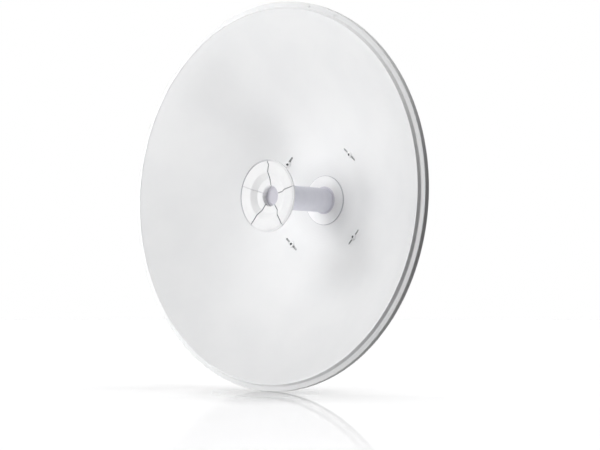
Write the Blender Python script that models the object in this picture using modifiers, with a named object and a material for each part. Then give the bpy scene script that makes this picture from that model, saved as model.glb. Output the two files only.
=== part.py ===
"""Dish antenna for point-to-point radio: pressed reflector, centre feed and tilting rear bracket.

Metres, +Z up. The dish looks along -Y. The origin is the centre of the flat rear face of the mounting
plate, level with the axis of the dish, so everything lies at y <= 0. Depths called "behind the lip" run
along +Y from the plane of the dish's front lip.
"""
import math

import bmesh
import bpy
from mathutils import Matrix, Vector

# Reflector: a paraboloid with a stepped rim that turns back at its edge
LIP_TO_MOUNT = 0.278
LIP_RADIUS = 0.3118
VERTEX_DEPTH = 0.1505
SHEET = 0.002
RIM_STEP_RADIUS = 0.3152
RIM_STEP_DEPTH = 0.0058
RIM_CORNER_RADIUS = 0.3223
RIM_RADIUS = 0.3235
RIM_CORNER_DROP = 0.001
RIM_REAR_DEPTH = 0.0135
CENTRE_HOLE_RADIUS = 0.0235
DISH_STEPS = 64
OUTER_RINGS = 5

# Slots and bolts that hold the dish on its hub
HUB_BOLT_CIRCLE = 0.0998
HUB_BOLT_COUNT = 4
HUB_BOLT_FIRST_ANGLE = 48.4
SLOT_LENGTH = 0.032
SLOT_WIDTH = 0.007
HUB_HEAD_RADIUS = 0.0056
HUB_HEAD_HEIGHT = 0.0022
HUB_SHANK_RADIUS = 0.003
HUB_NUT_RADIUS = 0.0057
HUB_NUT_HEIGHT = 0.005
HUB_BOLT_TAIL = 0.0015
HUB_HEAD_CROWN = (0.65, 0.35)

# Two small rivets near the top of the rim
RIM_RIVET_ANGLES = (74.0, 63.5)
RIM_RIVET_CIRCLE = 0.3184
RIM_RIVET_RADIUS = 0.0021
RIM_RIVET_HEIGHT = 0.0011
RIM_RIVET_CROWN = (0.6, 0.8)

# Feed, from the flange on the dish forward to the cap
FLANGE_RADIUS = 0.0430
FLANGE_FRONT_DEPTH = 0.1455
FLANGE_CHAMFER = 0.0005
NECK_RADIUS = 0.0225
COLLAR_RADIUS = 0.0240
COLLAR_HEIGHT = 0.0014
COLLAR_TOP_WIDTH = 0.0016
COLLAR_EDGE = 0.0006
TUBE_RADIUS = 0.0209
TUBE_WALL = 0.002
CONE_BACK_DEPTH = 0.0415
CONE_BACK_RADIUS = 0.0224
CONE_BACK_RIM = 0.0035
CAP_FRONT = -0.001
CAP_RADIUS = 0.0600
CAP_WALL = 0.0035
CAP_BACK = 0.0135
CAP_BACK_RADIUS = 0.0475
CAP_BORE_RADIUS = 0.0180
CAP_BORE_DEPTH = 0.0098
CAP_HUB_RADIUS = 0.0287
CAP_HUB_DEPTH = 0.0082
CAP_FUNNEL_RADIUS = 0.0390
CAP_FUNNEL_DEPTH = 0.0010
CAP_RIDGE_RADIUS = 0.0455
CAP_FACE_RADIUS = 0.0576
CAP_LIP_RADIUS = 0.0582
CAP_LIP_DEPTH = 0.0015
CORE_FRONT = 0.0175
CORE_BACK = 0.0245
CORE_STEP = 0.0015
CORE_NOSE_RADIUS = 0.006
CORE_MIDDLE_RADIUS = 0.012
SEAM_COUNT = 5
SEAM_WIDTH = 0.0016
SEAM_DEPTH = 0.0020
SEAM_FIRST_ANGLE = 89.0
FEED_STEPS = 36

# Hub plate, a hat-shaped pressing behind the dish
HUB_SHEET = 0.003
HUB_HOLE_RADIUS = 0.034
HUB_FLAT_RADIUS = 0.076
HUB_FLAT_DEPTH = 0.160
HUB_FOOT_RADIUS = 0.087
HUB_RADIUS = 0.121
HUB_STEPS = 40
HUB_CLEARANCE = 0.0005

# Rear end of the feed, with two coaxial ports
SOCKET_RADIUS = 0.0315
SOCKET_SHOULDER_RADIUS = 0.026
SOCKET_SHOULDER_DEPTH = 0.183
SOCKET_REAR_DEPTH = 0.191
PORT_X = 0.0115
PORT_NUT_RADIUS = 0.0062
PORT_NUT_HEIGHT = 0.004
PORT_BARREL_RADIUS = 0.0042
PORT_BARREL_HEIGHT = 0.0125

# Cheek bracket, screwed to the hub plate
PLATE = 0.004
BASE_HALF = 0.062
BASE_CORNER = 0.010
BASE_HOLE_RADIUS = 0.036
BASE_SCREW_OFFSET = 0.049
CHEEK_HALF_HEIGHT = 0.047
CHEEK_REAR_DEPTH = 0.246
CHEEK_CORNER = 0.016
SCREW_HEAD_RADIUS = 0.0062
SCREW_HEAD_HEIGHT = 0.004
SCREW_SHANK_RADIUS = 0.003
SCREW_HEAD_CROWN = (0.7, 0.5)
SCREW_TIP_REACH = 0.001

# Mounting bracket, which tilts between the cheeks and carries the flat mounting plate
TONGUE_FRONT_DEPTH = 0.197
TONGUE_HALF_HEIGHT = 0.040
MOUNT_HALF_HEIGHT = 0.066
MOUNT_CORNER = 0.012
MOUNT_SLOT_X = 0.030
MOUNT_SLOT_Z = 0.046
MOUNT_SLOT_WIDTH = 0.009
MOUNT_SLOT_LENGTH = 0.022

# Pivot and lock bolts of the tilt
PIVOT_DEPTH = 0.221
PIVOT_Z = -0.019
LOCK_ARM = 0.038
LOCK_SWING = 20.0
BOLT_RADIUS = 0.004
BOLT_HEAD_RADIUS = 0.0075
BOLT_HEAD_HEIGHT = 0.0053
BOLT_NUT_HEIGHT = 0.0065
BOLT_TAIL = 0.003
ROUND_STEPS = 12
CORNER_POINTS = 5
SLOT_END_POINTS = 7
SHARP_ANGLE = 35.0

GAP = 0.0003
FIT = 0.0004
MERGE = 0.00005
CUT_MARGIN = 0.01
EDGE_INSET = 0.0001

FOCAL_LENGTH = LIP_RADIUS ** 2 / (4.0 * VERTEX_DEPTH)


# Scene and materials

def clear_scene():
    for obj in list(bpy.data.objects):
        bpy.data.objects.remove(obj, do_unlink=True)


def new_collection(name):
    collection = bpy.data.collections.new(name)
    bpy.context.scene.collection.children.link(collection)
    return collection


def make_material(name, colour, roughness, metallic=0.0):
    material = bpy.data.materials.new(name)
    material.use_nodes = True
    shader = material.node_tree.nodes["Principled BSDF"]
    shader.inputs["Base Color"].default_value = (*colour, 1.0)
    shader.inputs["Roughness"].default_value = roughness
    shader.inputs["Metallic"].default_value = metallic
    return material


clear_scene()
PARTS = new_collection("dish_antenna")
CUTTERS = new_collection("cutters")
PAINT = make_material("white_paint", (0.88, 0.88, 0.88), 0.45)
MOULDING = make_material("white_moulding", (0.86, 0.86, 0.86), 0.4)
TUBE_GREY = make_material("tube_grey", (0.62, 0.62, 0.68), 0.45)
CORE_GREY = make_material("core_grey", (0.60, 0.59, 0.64), 0.5)
GALVANISED = make_material("galvanised_steel", (0.60, 0.61, 0.62), 0.4, 0.9)
STAINLESS = make_material("stainless_steel", (0.56, 0.56, 0.57), 0.3, 1.0)
BRASS = make_material("plated_brass", (0.72, 0.60, 0.36), 0.3, 1.0)


def make_empty(name, location, rotation):
    empty = bpy.data.objects.new(name, None)
    empty.location = location
    empty.rotation_euler = rotation
    PARTS.objects.link(empty)
    return empty


# In this frame local +Z is the way the dish looks and local z = -depth behind the lip
DISH_FRAME = make_empty("dish_frame", (0.0, -LIP_TO_MOUNT, 0.0), (math.radians(90.0), 0.0, 0.0))


def world_y(depth):
    """Y of a point that lies this far behind the lip."""
    return depth - LIP_TO_MOUNT


# Making and cutting objects

def add_object(name, data, material, parent=None):
    obj = bpy.data.objects.new(name, data)
    PARTS.objects.link(obj)
    obj.parent = parent
    if material is not None:
        data.materials.append(material)
    return obj


def make_cutter(obj):
    """Takes an object out of the model and keeps it as a guide for a Boolean."""
    PARTS.objects.unlink(obj)
    CUTTERS.objects.link(obj)
    obj.hide_render = True
    obj.display_type = "WIRE"
    return obj


def boolean(target, tool, operation):
    modifier = target.modifiers.new(operation.title() + " " + tool.name, "BOOLEAN")
    modifier.operation = operation
    modifier.object = make_cutter(tool)
    modifier.solver = "EXACT"


def shade(mesh):
    """Smooth shading with its sharp edges kept."""
    mesh.shade_smooth()
    mesh.set_sharp_from_angle(angle=math.radians(SHARP_ANGLE))


def turned(name, profile, steps, material, closed=False):
    """A profile of (radius, z) points, turned about local Z. It runs outward on faces that look to +Z."""
    count = len(profile)
    mesh = bpy.data.meshes.new(name)
    edges = [(i, i + 1) for i in range(count - 1)]
    if closed:
        edges.append((count - 1, 0))
    mesh.from_pydata([(radius, 0.0, z) for radius, z in profile], edges, [])
    obj = add_object(name, mesh, material, DISH_FRAME)
    screw = obj.modifiers.new("Turn", "SCREW")
    screw.axis = "Z"
    screw.steps = steps
    screw.render_steps = steps
    screw.use_merge_vertices = True
    screw.merge_threshold = MERGE
    screw.use_smooth_shade = True
    return obj


def thicken(obj, thickness):
    solid = obj.modifiers.new("Sheet", "SOLIDIFY")
    solid.thickness = thickness
    solid.offset = -1.0
    solid.use_even_offset = True


def rod(name, radius, z_low, z_high, material, segments=ROUND_STEPS, parent=None):
    """A round or hexagonal bar along local Z."""
    mesh = bpy.data.meshes.new(name)
    shape = bmesh.new()
    place = Matrix.Translation((0.0, 0.0, (z_low + z_high) / 2.0))
    bmesh.ops.create_cone(shape, cap_ends=True, segments=segments, radius1=radius, radius2=radius,
                          depth=z_high - z_low, matrix=place)
    shape.to_mesh(mesh)
    shape.free()
    shade(mesh)
    return add_object(name, mesh, material, parent)


def slot_bar(name, length, width, z_low, z_high):
    """A bar with round ends, long along local Y, for cutting a slot."""
    bar = rod(name, width / 2.0, z_low, z_high, None)
    half_step = Matrix.Rotation(math.pi / ROUND_STEPS, 4, "Z")
    for vertex in bar.data.vertices:
        turned_point = half_step @ vertex.co
        side = 1.0 if turned_point.y > 0.0 else -1.0
        vertex.co = turned_point + Vector((0.0, side * (length - width) / 2.0, 0.0))
    return bar


def arc_points(centre, radius, start, end, count):
    """Points on an arc, angles in degrees, both ends included."""
    points = []
    for i in range(count):
        angle = math.radians(start + (end - start) * i / (count - 1))
        points.append((centre[0] + radius * math.cos(angle), centre[1] + radius * math.sin(angle)))
    return points


def rounded_rectangle(x_low, x_high, y_low, y_high, corner):
    """An outline with round corners, anticlockwise. A corner of 0 is left sharp."""
    radii = corner if isinstance(corner, tuple) else (corner,) * 4
    centres = ((x_high, y_high, -1, -1), (x_low, y_high, 1, -1), (x_low, y_low, 1, 1), (x_high, y_low, -1, 1))
    points = []
    for i, (x, y, inward_x, inward_y) in enumerate(centres):
        radius = radii[i]
        if radius == 0.0:
            points.append((x, y))
            continue
        centre = (x + inward_x * radius, y + inward_y * radius)
        points += arc_points(centre, radius, 90.0 * i, 90.0 * i + 90.0, CORNER_POINTS)
    return [point for i, point in enumerate(points) if math.dist(point, points[i - 1]) > MERGE]


def circle(centre, radius):
    return arc_points(centre, radius, 0.0, 360.0 * (ROUND_STEPS - 1) / ROUND_STEPS, ROUND_STEPS)


def arc_slot(pivot, arm, width, middle, swing):
    """The outline of a curved slot about a pivot, round at both ends."""
    low = middle - swing
    high = middle + swing
    points = arc_points(pivot, arm + width / 2.0, low, high, SLOT_END_POINTS)
    end = (pivot[0] + arm * math.cos(math.radians(high)), pivot[1] + arm * math.sin(math.radians(high)))
    points += arc_points(end, width / 2.0, high, high + 180.0, SLOT_END_POINTS)[1:-1]
    points += arc_points(pivot, arm - width / 2.0, high, low, SLOT_END_POINTS)
    end = (pivot[0] + arm * math.cos(math.radians(low)), pivot[1] + arm * math.sin(math.radians(low)))
    points += arc_points(end, width / 2.0, low + 180.0, low + 360.0, SLOT_END_POINTS)[1:-1]
    return points


def flat_plate(name, outlines, thickness, location, rotation, material):
    """A plate cut to the first outline, with the others as holes, extruded to both sides of its middle."""
    curve = bpy.data.curves.new(name, "CURVE")
    curve.dimensions = "2D"
    curve.fill_mode = "BOTH"
    curve.extrude = thickness / 2.0
    for outline in outlines:
        spline = curve.splines.new("POLY")
        spline.points.add(len(outline) - 1)
        for point, (x, y) in zip(spline.points, outline):
            point.co = (x, y, 0.0, 1.0)
        spline.use_cyclic_u = True
    obj = add_object(name, curve, material)
    obj.location = location
    obj.rotation_euler = rotation
    return as_mesh(obj)


def as_mesh(obj):
    """Replaces a curve object by a closed mesh object of the same name and place."""
    bpy.context.view_layer.update()
    evaluated = obj.evaluated_get(bpy.context.evaluated_depsgraph_get())
    mesh = bpy.data.meshes.new_from_object(evaluated)
    shape = bmesh.new()
    shape.from_mesh(mesh)
    bmesh.ops.remove_doubles(shape, verts=shape.verts, dist=MERGE)
    shape.to_mesh(mesh)
    shape.free()
    shade(mesh)
    name = obj.name
    matrix = obj.matrix_world.copy()
    curve = obj.data
    bpy.data.objects.remove(obj, do_unlink=True)
    bpy.data.curves.remove(curve)
    result = bpy.data.objects.new(name, mesh)
    PARTS.objects.link(result)
    result.matrix_world = matrix
    return result


# Shape of the dish

def dish_front(radius):
    """Local z of the reflecting face."""
    return radius ** 2 / (4.0 * FOCAL_LENGTH) - VERTEX_DEPTH


def dish_slope(radius):
    return math.atan(radius / (2.0 * FOCAL_LENGTH))


def dish_back(radius, clearance):
    """Local z of a point that clears the back of the sheet by this much."""
    return dish_front(radius) - (SHEET + clearance) / math.cos(dish_slope(radius))


def place_on_dish(obj, radius, angle):
    """Stands an object on the reflecting face, local +Z along its normal and +X outward."""
    turn = math.radians(angle)
    obj.parent = DISH_FRAME
    obj.location = (radius * math.cos(turn), radius * math.sin(turn), dish_front(radius))
    obj.rotation_euler = (0.0, -dish_slope(radius), turn)


def hub_bolt_angles():
    return [HUB_BOLT_FIRST_ANGLE + 360.0 * i / HUB_BOLT_COUNT for i in range(HUB_BOLT_COUNT)]


def spread(start, end, count):
    return [start + (end - start) * i / (count - 1) for i in range(count)]


HUB_FLANGE_RADII = spread(HUB_FOOT_RADIUS, HUB_RADIUS, 3)
OUTER_RADII = spread(HUB_RADIUS, LIP_RADIUS, OUTER_RINGS)[1:]
BOWL_RADII = [CENTRE_HOLE_RADIUS, FLANGE_RADIUS] + HUB_FLANGE_RADII + OUTER_RADII


# Reflector and what is fixed to its rim

def make_reflector():
    bowl = [(radius, dish_front(radius)) for radius in BOWL_RADII]
    rim = [
        (RIM_STEP_RADIUS, -RIM_STEP_DEPTH),
        (RIM_CORNER_RADIUS, -RIM_STEP_DEPTH),
        (RIM_RADIUS, -RIM_STEP_DEPTH - RIM_CORNER_DROP),
        (RIM_RADIUS, -RIM_REAR_DEPTH),
    ]
    reflector = turned("reflector", bowl + rim, DISH_STEPS, PAINT)
    thicken(reflector, SHEET)
    for number, angle in enumerate(hub_bolt_angles(), start=1):
        cutter = slot_bar("slot_cutter_%d" % number, SLOT_LENGTH, SLOT_WIDTH, -CUT_MARGIN, CUT_MARGIN)
        place_on_dish(cutter, HUB_BOLT_CIRCLE, angle)
        boolean(reflector, cutter, "DIFFERENCE")


def make_rim_rivets():
    for side, angle in zip(("left", "right"), RIM_RIVET_ANGLES):
        profile = [
            (0.0, RIM_RIVET_HEIGHT),
            (RIM_RIVET_RADIUS * RIM_RIVET_CROWN[0], RIM_RIVET_HEIGHT * RIM_RIVET_CROWN[1]),
            (RIM_RIVET_RADIUS, 0.0),
            (0.0, 0.0),
        ]
        rivet = turned("rim_rivet_" + side, profile, ROUND_STEPS, PAINT)
        turn = math.radians(angle)
        seat = GAP - RIM_STEP_DEPTH
        rivet.location = (RIM_RIVET_CIRCLE * math.cos(turn), RIM_RIVET_CIRCLE * math.sin(turn), seat)


# Feed

def make_feed_flange():
    edge_seat = dish_front(FLANGE_RADIUS) + GAP
    front = -FLANGE_FRONT_DEPTH
    profile = [
        (0.0, front),
        (FLANGE_RADIUS - FLANGE_CHAMFER, front),
        (FLANGE_RADIUS, front - FLANGE_CHAMFER / 2.0),
        (FLANGE_RADIUS, edge_seat),
        (NECK_RADIUS, dish_front(NECK_RADIUS) + GAP),
        (NECK_RADIUS, dish_back(CENTRE_HOLE_RADIUS, GAP)),
        (0.0, dish_back(CENTRE_HOLE_RADIUS, GAP)),
    ]
    turned("feed_flange", profile, FEED_STEPS, MOULDING)


def make_feed_collar():
    low = GAP - FLANGE_FRONT_DEPTH
    bore = TUBE_RADIUS + GAP
    profile = [
        (bore, low),
        (bore, low + COLLAR_HEIGHT),
        (bore + COLLAR_TOP_WIDTH, low + COLLAR_HEIGHT),
        (COLLAR_RADIUS, low + COLLAR_EDGE),
        (COLLAR_RADIUS, low),
    ]
    turned("feed_collar", profile, FEED_STEPS, CORE_GREY, closed=True)


def make_feed_tube():
    low = GAP - FLANGE_FRONT_DEPTH
    high = -CONE_BACK_DEPTH - GAP
    profile = [
        (TUBE_RADIUS - TUBE_WALL, low),
        (TUBE_RADIUS - TUBE_WALL, high),
        (TUBE_RADIUS, high),
        (TUBE_RADIUS, low),
    ]
    turned("feed_tube", profile, FEED_STEPS, TUBE_GREY, closed=True)


def cap_z(depth):
    """Local z of a point this far behind the front of the cap."""
    return -CAP_FRONT - depth


def make_feed_cone():
    seat = cap_z(CAP_BACK) - GAP
    pocket_floor = cap_z(CORE_BACK) - GAP
    profile = [
        (0.0, pocket_floor),
        (CAP_BORE_RADIUS, pocket_floor),
        (CAP_BORE_RADIUS, seat),
        (CAP_BACK_RADIUS, seat),
        (CONE_BACK_RADIUS, -CONE_BACK_DEPTH + CONE_BACK_RIM),
        (CONE_BACK_RADIUS, -CONE_BACK_DEPTH),
        (0.0, -CONE_BACK_DEPTH),
    ]
    turned("feed_cone", profile, FEED_STEPS, MOULDING)


def make_feed_cap():
    """A dished cap: lip, outer ring, funnel to a hub ring, and a bore through the middle."""
    face = [
        (CAP_BORE_RADIUS, CAP_BORE_DEPTH),
        (CAP_HUB_RADIUS, CAP_HUB_DEPTH),
        (CAP_FUNNEL_RADIUS, CAP_FUNNEL_DEPTH),
        (CAP_RIDGE_RADIUS, 0.0),
        (CAP_FACE_RADIUS, 0.0),
        (CAP_LIP_RADIUS, CAP_LIP_DEPTH),
        (CAP_RADIUS, CAP_LIP_DEPTH),
    ]
    rear = [
        (CAP_RADIUS, CAP_WALL),
        (CAP_BACK_RADIUS, CAP_BACK),
        (CAP_BORE_RADIUS, CAP_BACK),
    ]
    profile = [(radius, cap_z(depth)) for radius, depth in face + rear]
    cap = turned("feed_cap", profile, FEED_STEPS, MOULDING, closed=True)
    seam = face[:3] + [(CAP_FACE_RADIUS, 0.0)]
    for number in range(SEAM_COUNT):
        angle = SEAM_FIRST_ANGLE + 360.0 * number / SEAM_COUNT
        for inner, outer in zip(seam, seam[1:]):
            cut_seam(cap, angle, inner, outer)


def cut_seam(cap, angle, inner, outer):
    """Cuts a narrow groove along the cap's face between two (radius, depth) points."""
    run = outer[0] - inner[0]
    drop = inner[1] - outer[1]
    turn = math.radians(angle)
    middle = (inner[0] + outer[0]) / 2.0
    cutter = box("seam_cutter", (math.hypot(run, drop) + SEAM_WIDTH, SEAM_WIDTH, 2.0 * SEAM_DEPTH))
    cutter.parent = DISH_FRAME
    cutter.location = (middle * math.cos(turn), middle * math.sin(turn), cap_z((inner[1] + outer[1]) / 2.0))
    cutter.rotation_euler = (0.0, -math.atan2(drop, run), turn)
    boolean(cap, cutter, "DIFFERENCE")


def make_feed_core():
    """The stepped plug at the bottom of the cap's bore."""
    rim = CAP_BORE_RADIUS - FIT
    profile = [(0.0, cap_z(CORE_FRONT))]
    for number, radius in enumerate((CORE_NOSE_RADIUS, CORE_MIDDLE_RADIUS)):
        profile.append((radius, cap_z(CORE_FRONT + number * CORE_STEP)))
        profile.append((radius, cap_z(CORE_FRONT + (number + 1) * CORE_STEP)))
    profile += [(rim, cap_z(CORE_FRONT + 2 * CORE_STEP)), (rim, cap_z(CORE_BACK)), (0.0, cap_z(CORE_BACK))]
    turned("feed_core", profile, FEED_STEPS, CORE_GREY)


def box(name, size):
    mesh = bpy.data.meshes.new(name)
    shape = bmesh.new()
    bmesh.ops.create_cube(shape, size=1.0, matrix=Matrix.Diagonal((*size, 1.0)))
    shape.to_mesh(mesh)
    shape.free()
    return add_object(name, mesh, None)


# Hub behind the dish

def make_hub_plate():
    flange = [(radius, dish_back(radius, HUB_CLEARANCE)) for radius in HUB_FLANGE_RADII]
    profile = [(HUB_HOLE_RADIUS, -HUB_FLAT_DEPTH), (HUB_FLAT_RADIUS, -HUB_FLAT_DEPTH)] + flange
    hub = turned("hub_plate", profile, HUB_STEPS, PAINT)
    thicken(hub, HUB_SHEET)
    for number, angle in enumerate(hub_bolt_angles(), start=1):
        cutter = rod("hub_hole_cutter_%d" % number, HUB_SHANK_RADIUS + FIT, -CUT_MARGIN, CUT_MARGIN, None)
        place_on_dish(cutter, HUB_BOLT_CIRCLE, angle)
        boolean(hub, cutter, "DIFFERENCE")
    for number, (x, z) in enumerate(base_screw_places(), start=1):
        depth = HUB_FLAT_DEPTH + HUB_SHEET / 2.0
        cutter = rod("base_hole_cutter_%d" % number, SCREW_SHANK_RADIUS + FIT, -HUB_SHEET, HUB_SHEET, None)
        cutter.parent = DISH_FRAME
        cutter.location = (x, z, -depth)
        boolean(hub, cutter, "DIFFERENCE")


def make_hub_bolts():
    """Low round-headed bolts through the slots, each with a hexagonal nut behind the hub plate."""
    nut_top = -(SHEET + HUB_CLEARANCE + HUB_SHEET + GAP)
    tail = nut_top - HUB_NUT_HEIGHT - HUB_BOLT_TAIL
    for number, angle in enumerate(hub_bolt_angles(), start=1):
        profile = [
            (0.0, HUB_HEAD_HEIGHT + GAP),
            (HUB_HEAD_RADIUS * HUB_HEAD_CROWN[0], HUB_HEAD_HEIGHT + GAP),
            (HUB_HEAD_RADIUS, HUB_HEAD_HEIGHT * HUB_HEAD_CROWN[1] + GAP),
            (HUB_HEAD_RADIUS, GAP),
            (HUB_SHANK_RADIUS, GAP),
            (HUB_SHANK_RADIUS, tail),
            (0.0, tail),
        ]
        bolt = turned("hub_bolt_%d" % number, profile, ROUND_STEPS, PAINT)
        place_on_dish(bolt, HUB_BOLT_CIRCLE, angle)
        nut = rod("hub_nut_%d" % number, HUB_NUT_RADIUS, nut_top - HUB_NUT_HEIGHT, nut_top, STAINLESS, 6)
        hole = rod("hub_nut_bore_%d" % number, HUB_SHANK_RADIUS + GAP, tail, nut_top + GAP, None)
        place_on_dish(nut, HUB_BOLT_CIRCLE, angle)
        place_on_dish(hole, HUB_BOLT_CIRCLE, angle)
        boolean(nut, hole, "DIFFERENCE")


def make_feed_socket():
    front = dish_back(CENTRE_HOLE_RADIUS, 3.0 * GAP)
    profile = [
        (0.0, front),
        (SOCKET_RADIUS, front),
        (SOCKET_RADIUS, -SOCKET_SHOULDER_DEPTH),
        (SOCKET_SHOULDER_RADIUS, -SOCKET_REAR_DEPTH),
        (0.0, -SOCKET_REAR_DEPTH),
    ]
    turned("feed_socket", profile, FEED_STEPS, MOULDING)


def make_coaxial_ports():
    for side, x in (("left", -PORT_X), ("right", PORT_X)):
        top = -SOCKET_REAR_DEPTH - GAP
        port = rod("coaxial_port_" + side, PORT_NUT_RADIUS, top - PORT_NUT_HEIGHT, top, BRASS, 6, DISH_FRAME)
        port.location = (x, 0.0, 0.0)
        barrel = rod("port_barrel_" + side, PORT_BARREL_RADIUS, top - PORT_BARREL_HEIGHT, top - GAP, None,
                     ROUND_STEPS, DISH_FRAME)
        barrel.location = (x, 0.0, 0.0)
        boolean(port, barrel, "UNION")


# Rear brackets

FACING_REAR = (math.radians(90.0), 0.0, 0.0)
FACING_SIDE = (math.radians(90.0), 0.0, math.radians(90.0))
SLOT_ALONG_X = (math.radians(90.0), math.radians(90.0), 0.0)
CHEEK_OUTER = BASE_HALF - EDGE_INSET
TONGUE_OUTER = CHEEK_OUTER - PLATE - GAP - EDGE_INSET
PIVOT = (world_y(PIVOT_DEPTH), PIVOT_Z)
LOCK = (world_y(PIVOT_DEPTH), PIVOT_Z + LOCK_ARM)
BASE_DEPTH = HUB_FLAT_DEPTH + HUB_SHEET + GAP


def base_screw_places():
    return [(x * BASE_SCREW_OFFSET, z * BASE_SCREW_OFFSET) for x in (-1, 1) for z in (-1, 1)]


def make_cheek_bracket():
    """A base plate with two cheeks, each with a pivot hole and a curved slot for the lock bolt."""
    corners = rounded_rectangle(-BASE_HALF, BASE_HALF, -BASE_HALF, BASE_HALF, BASE_CORNER)
    holes = [circle((0.0, 0.0), BASE_HOLE_RADIUS)]
    holes += [circle(place, SCREW_SHANK_RADIUS + FIT) for place in base_screw_places()]
    base = flat_plate("cheek_bracket", [corners] + holes, PLATE,
                      (0.0, world_y(BASE_DEPTH + PLATE / 2.0), 0.0), FACING_REAR, GALVANISED)
    near = world_y(BASE_DEPTH + PLATE / 2.0)
    far = world_y(CHEEK_REAR_DEPTH)
    outline = rounded_rectangle(near, far, -CHEEK_HALF_HEIGHT, CHEEK_HALF_HEIGHT,
                                (CHEEK_CORNER, 0.0, 0.0, CHEEK_CORNER))
    bolt_hole = circle(PIVOT, BOLT_RADIUS + FIT)
    slot = arc_slot(PIVOT, LOCK_ARM, 2.0 * (BOLT_RADIUS + FIT), 90.0, LOCK_SWING)
    for side in (-1, 1):
        x = side * (CHEEK_OUTER - PLATE / 2.0)
        cheek = flat_plate("cheek_guide_%d" % side, [outline, bolt_hole, slot], PLATE, (x, 0.0, 0.0),
                           FACING_SIDE, None)
        boolean(base, cheek, "UNION")


def make_mount_bracket():
    """The mounting plate with two tongues that sit inside the cheeks."""
    half_width = CHEEK_OUTER - PLATE - GAP
    corners = rounded_rectangle(-half_width, half_width, -MOUNT_HALF_HEIGHT, MOUNT_HALF_HEIGHT, MOUNT_CORNER)
    plate = flat_plate("mount_bracket", [corners], PLATE, (0.0, -PLATE / 2.0, 0.0), FACING_REAR, GALVANISED)
    outline = rounded_rectangle(world_y(TONGUE_FRONT_DEPTH), -PLATE / 2.0, -TONGUE_HALF_HEIGHT,
                                TONGUE_HALF_HEIGHT, (0.0, CHEEK_CORNER, CHEEK_CORNER, 0.0))
    holes = [circle(PIVOT, BOLT_RADIUS + FIT), circle(LOCK, BOLT_RADIUS + FIT)]
    for side in (-1, 1):
        x = side * (TONGUE_OUTER - PLATE / 2.0)
        tongue = flat_plate("tongue_guide_%d" % side, [outline] + holes, PLATE, (x, 0.0, 0.0),
                            FACING_SIDE, None)
        boolean(plate, tongue, "UNION")
    for x in (-MOUNT_SLOT_X, MOUNT_SLOT_X):
        for z in (-MOUNT_SLOT_Z, MOUNT_SLOT_Z):
            slot = slot_bar("mount_slot_cutter", MOUNT_SLOT_LENGTH, MOUNT_SLOT_WIDTH, -PLATE, PLATE)
            slot.location = (x, -PLATE / 2.0, z)
            slot.rotation_euler = SLOT_ALONG_X
            boolean(plate, slot, "DIFFERENCE")


def make_base_screws():
    """Screws through the base plate into the hub plate, heads to the rear."""
    under_head = -(BASE_DEPTH + PLATE + GAP)
    tip = SCREW_TIP_REACH - HUB_FLAT_DEPTH
    for number, (x, z) in enumerate(base_screw_places(), start=1):
        profile = [
            (0.0, tip),
            (SCREW_SHANK_RADIUS, tip),
            (SCREW_SHANK_RADIUS, under_head),
            (SCREW_HEAD_RADIUS, under_head),
            (SCREW_HEAD_RADIUS, under_head - SCREW_HEAD_HEIGHT * SCREW_HEAD_CROWN[1]),
            (SCREW_HEAD_RADIUS * SCREW_HEAD_CROWN[0], under_head - SCREW_HEAD_HEIGHT),
            (0.0, under_head - SCREW_HEAD_HEIGHT),
        ]
        screw = turned("base_screw_%d" % number, profile, ROUND_STEPS, STAINLESS)
        screw.location = (x, z, 0.0)


def make_tilt_bolts():
    """A pivot bolt and a lock bolt on each side, heads outside the cheeks and nuts inside the tongues."""
    outer = CHEEK_OUTER + GAP
    inner = TONGUE_OUTER - PLATE - GAP
    for kind, (y, z) in (("pivot", PIVOT), ("lock", LOCK)):
        for side, turn in (("left", -90.0), ("right", 90.0)):
            rotation = (0.0, math.radians(turn), 0.0)
            bolt = rod("%s_bolt_%s" % (kind, side), BOLT_HEAD_RADIUS, outer, outer + BOLT_HEAD_HEIGHT,
                       STAINLESS, 6)
            shank = rod("%s_shank_%s" % (kind, side), BOLT_RADIUS, inner - BOLT_NUT_HEIGHT - BOLT_TAIL,
                        outer + BOLT_HEAD_HEIGHT / 2.0, None)
            nut = rod("%s_nut_%s" % (kind, side), BOLT_HEAD_RADIUS, inner - BOLT_NUT_HEIGHT, inner,
                      STAINLESS, 6)
            bore = rod("%s_bore_%s" % (kind, side), BOLT_RADIUS + GAP, inner - 2.0 * BOLT_NUT_HEIGHT,
                       inner + BOLT_NUT_HEIGHT, None)
            for piece in (bolt, shank, nut, bore):
                piece.location = (0.0, y, z)
                piece.rotation_euler = rotation
            boolean(bolt, shank, "UNION")
            boolean(nut, bore, "DIFFERENCE")


def main():
    make_reflector()
    make_rim_rivets()
    make_feed_flange()
    make_feed_collar()
    make_feed_tube()
    make_feed_cone()
    make_feed_cap()
    make_feed_core()
    make_hub_plate()
    make_hub_bolts()
    make_feed_socket()
    make_coaxial_ports()
    make_cheek_bracket()
    make_mount_bracket()
    make_base_screws()
    make_tilt_bolts()
    bpy.context.view_layer.update()


main()
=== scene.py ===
"""Looks of a dish antenna for point-to-point radio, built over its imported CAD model.

Metres, +Z up, and the dish looks along -Y. The origin is the centre of the mounting plate's rear face.
Depths called "behind the lip" run along +Y from the plane of the dish's front lip.
"""
import logging
import math
from collections.abc import Callable, Mapping, Sequence
from dataclasses import dataclass
from enum import Enum
import bmesh
import bpy
from mathutils import Matrix, Vector


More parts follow.
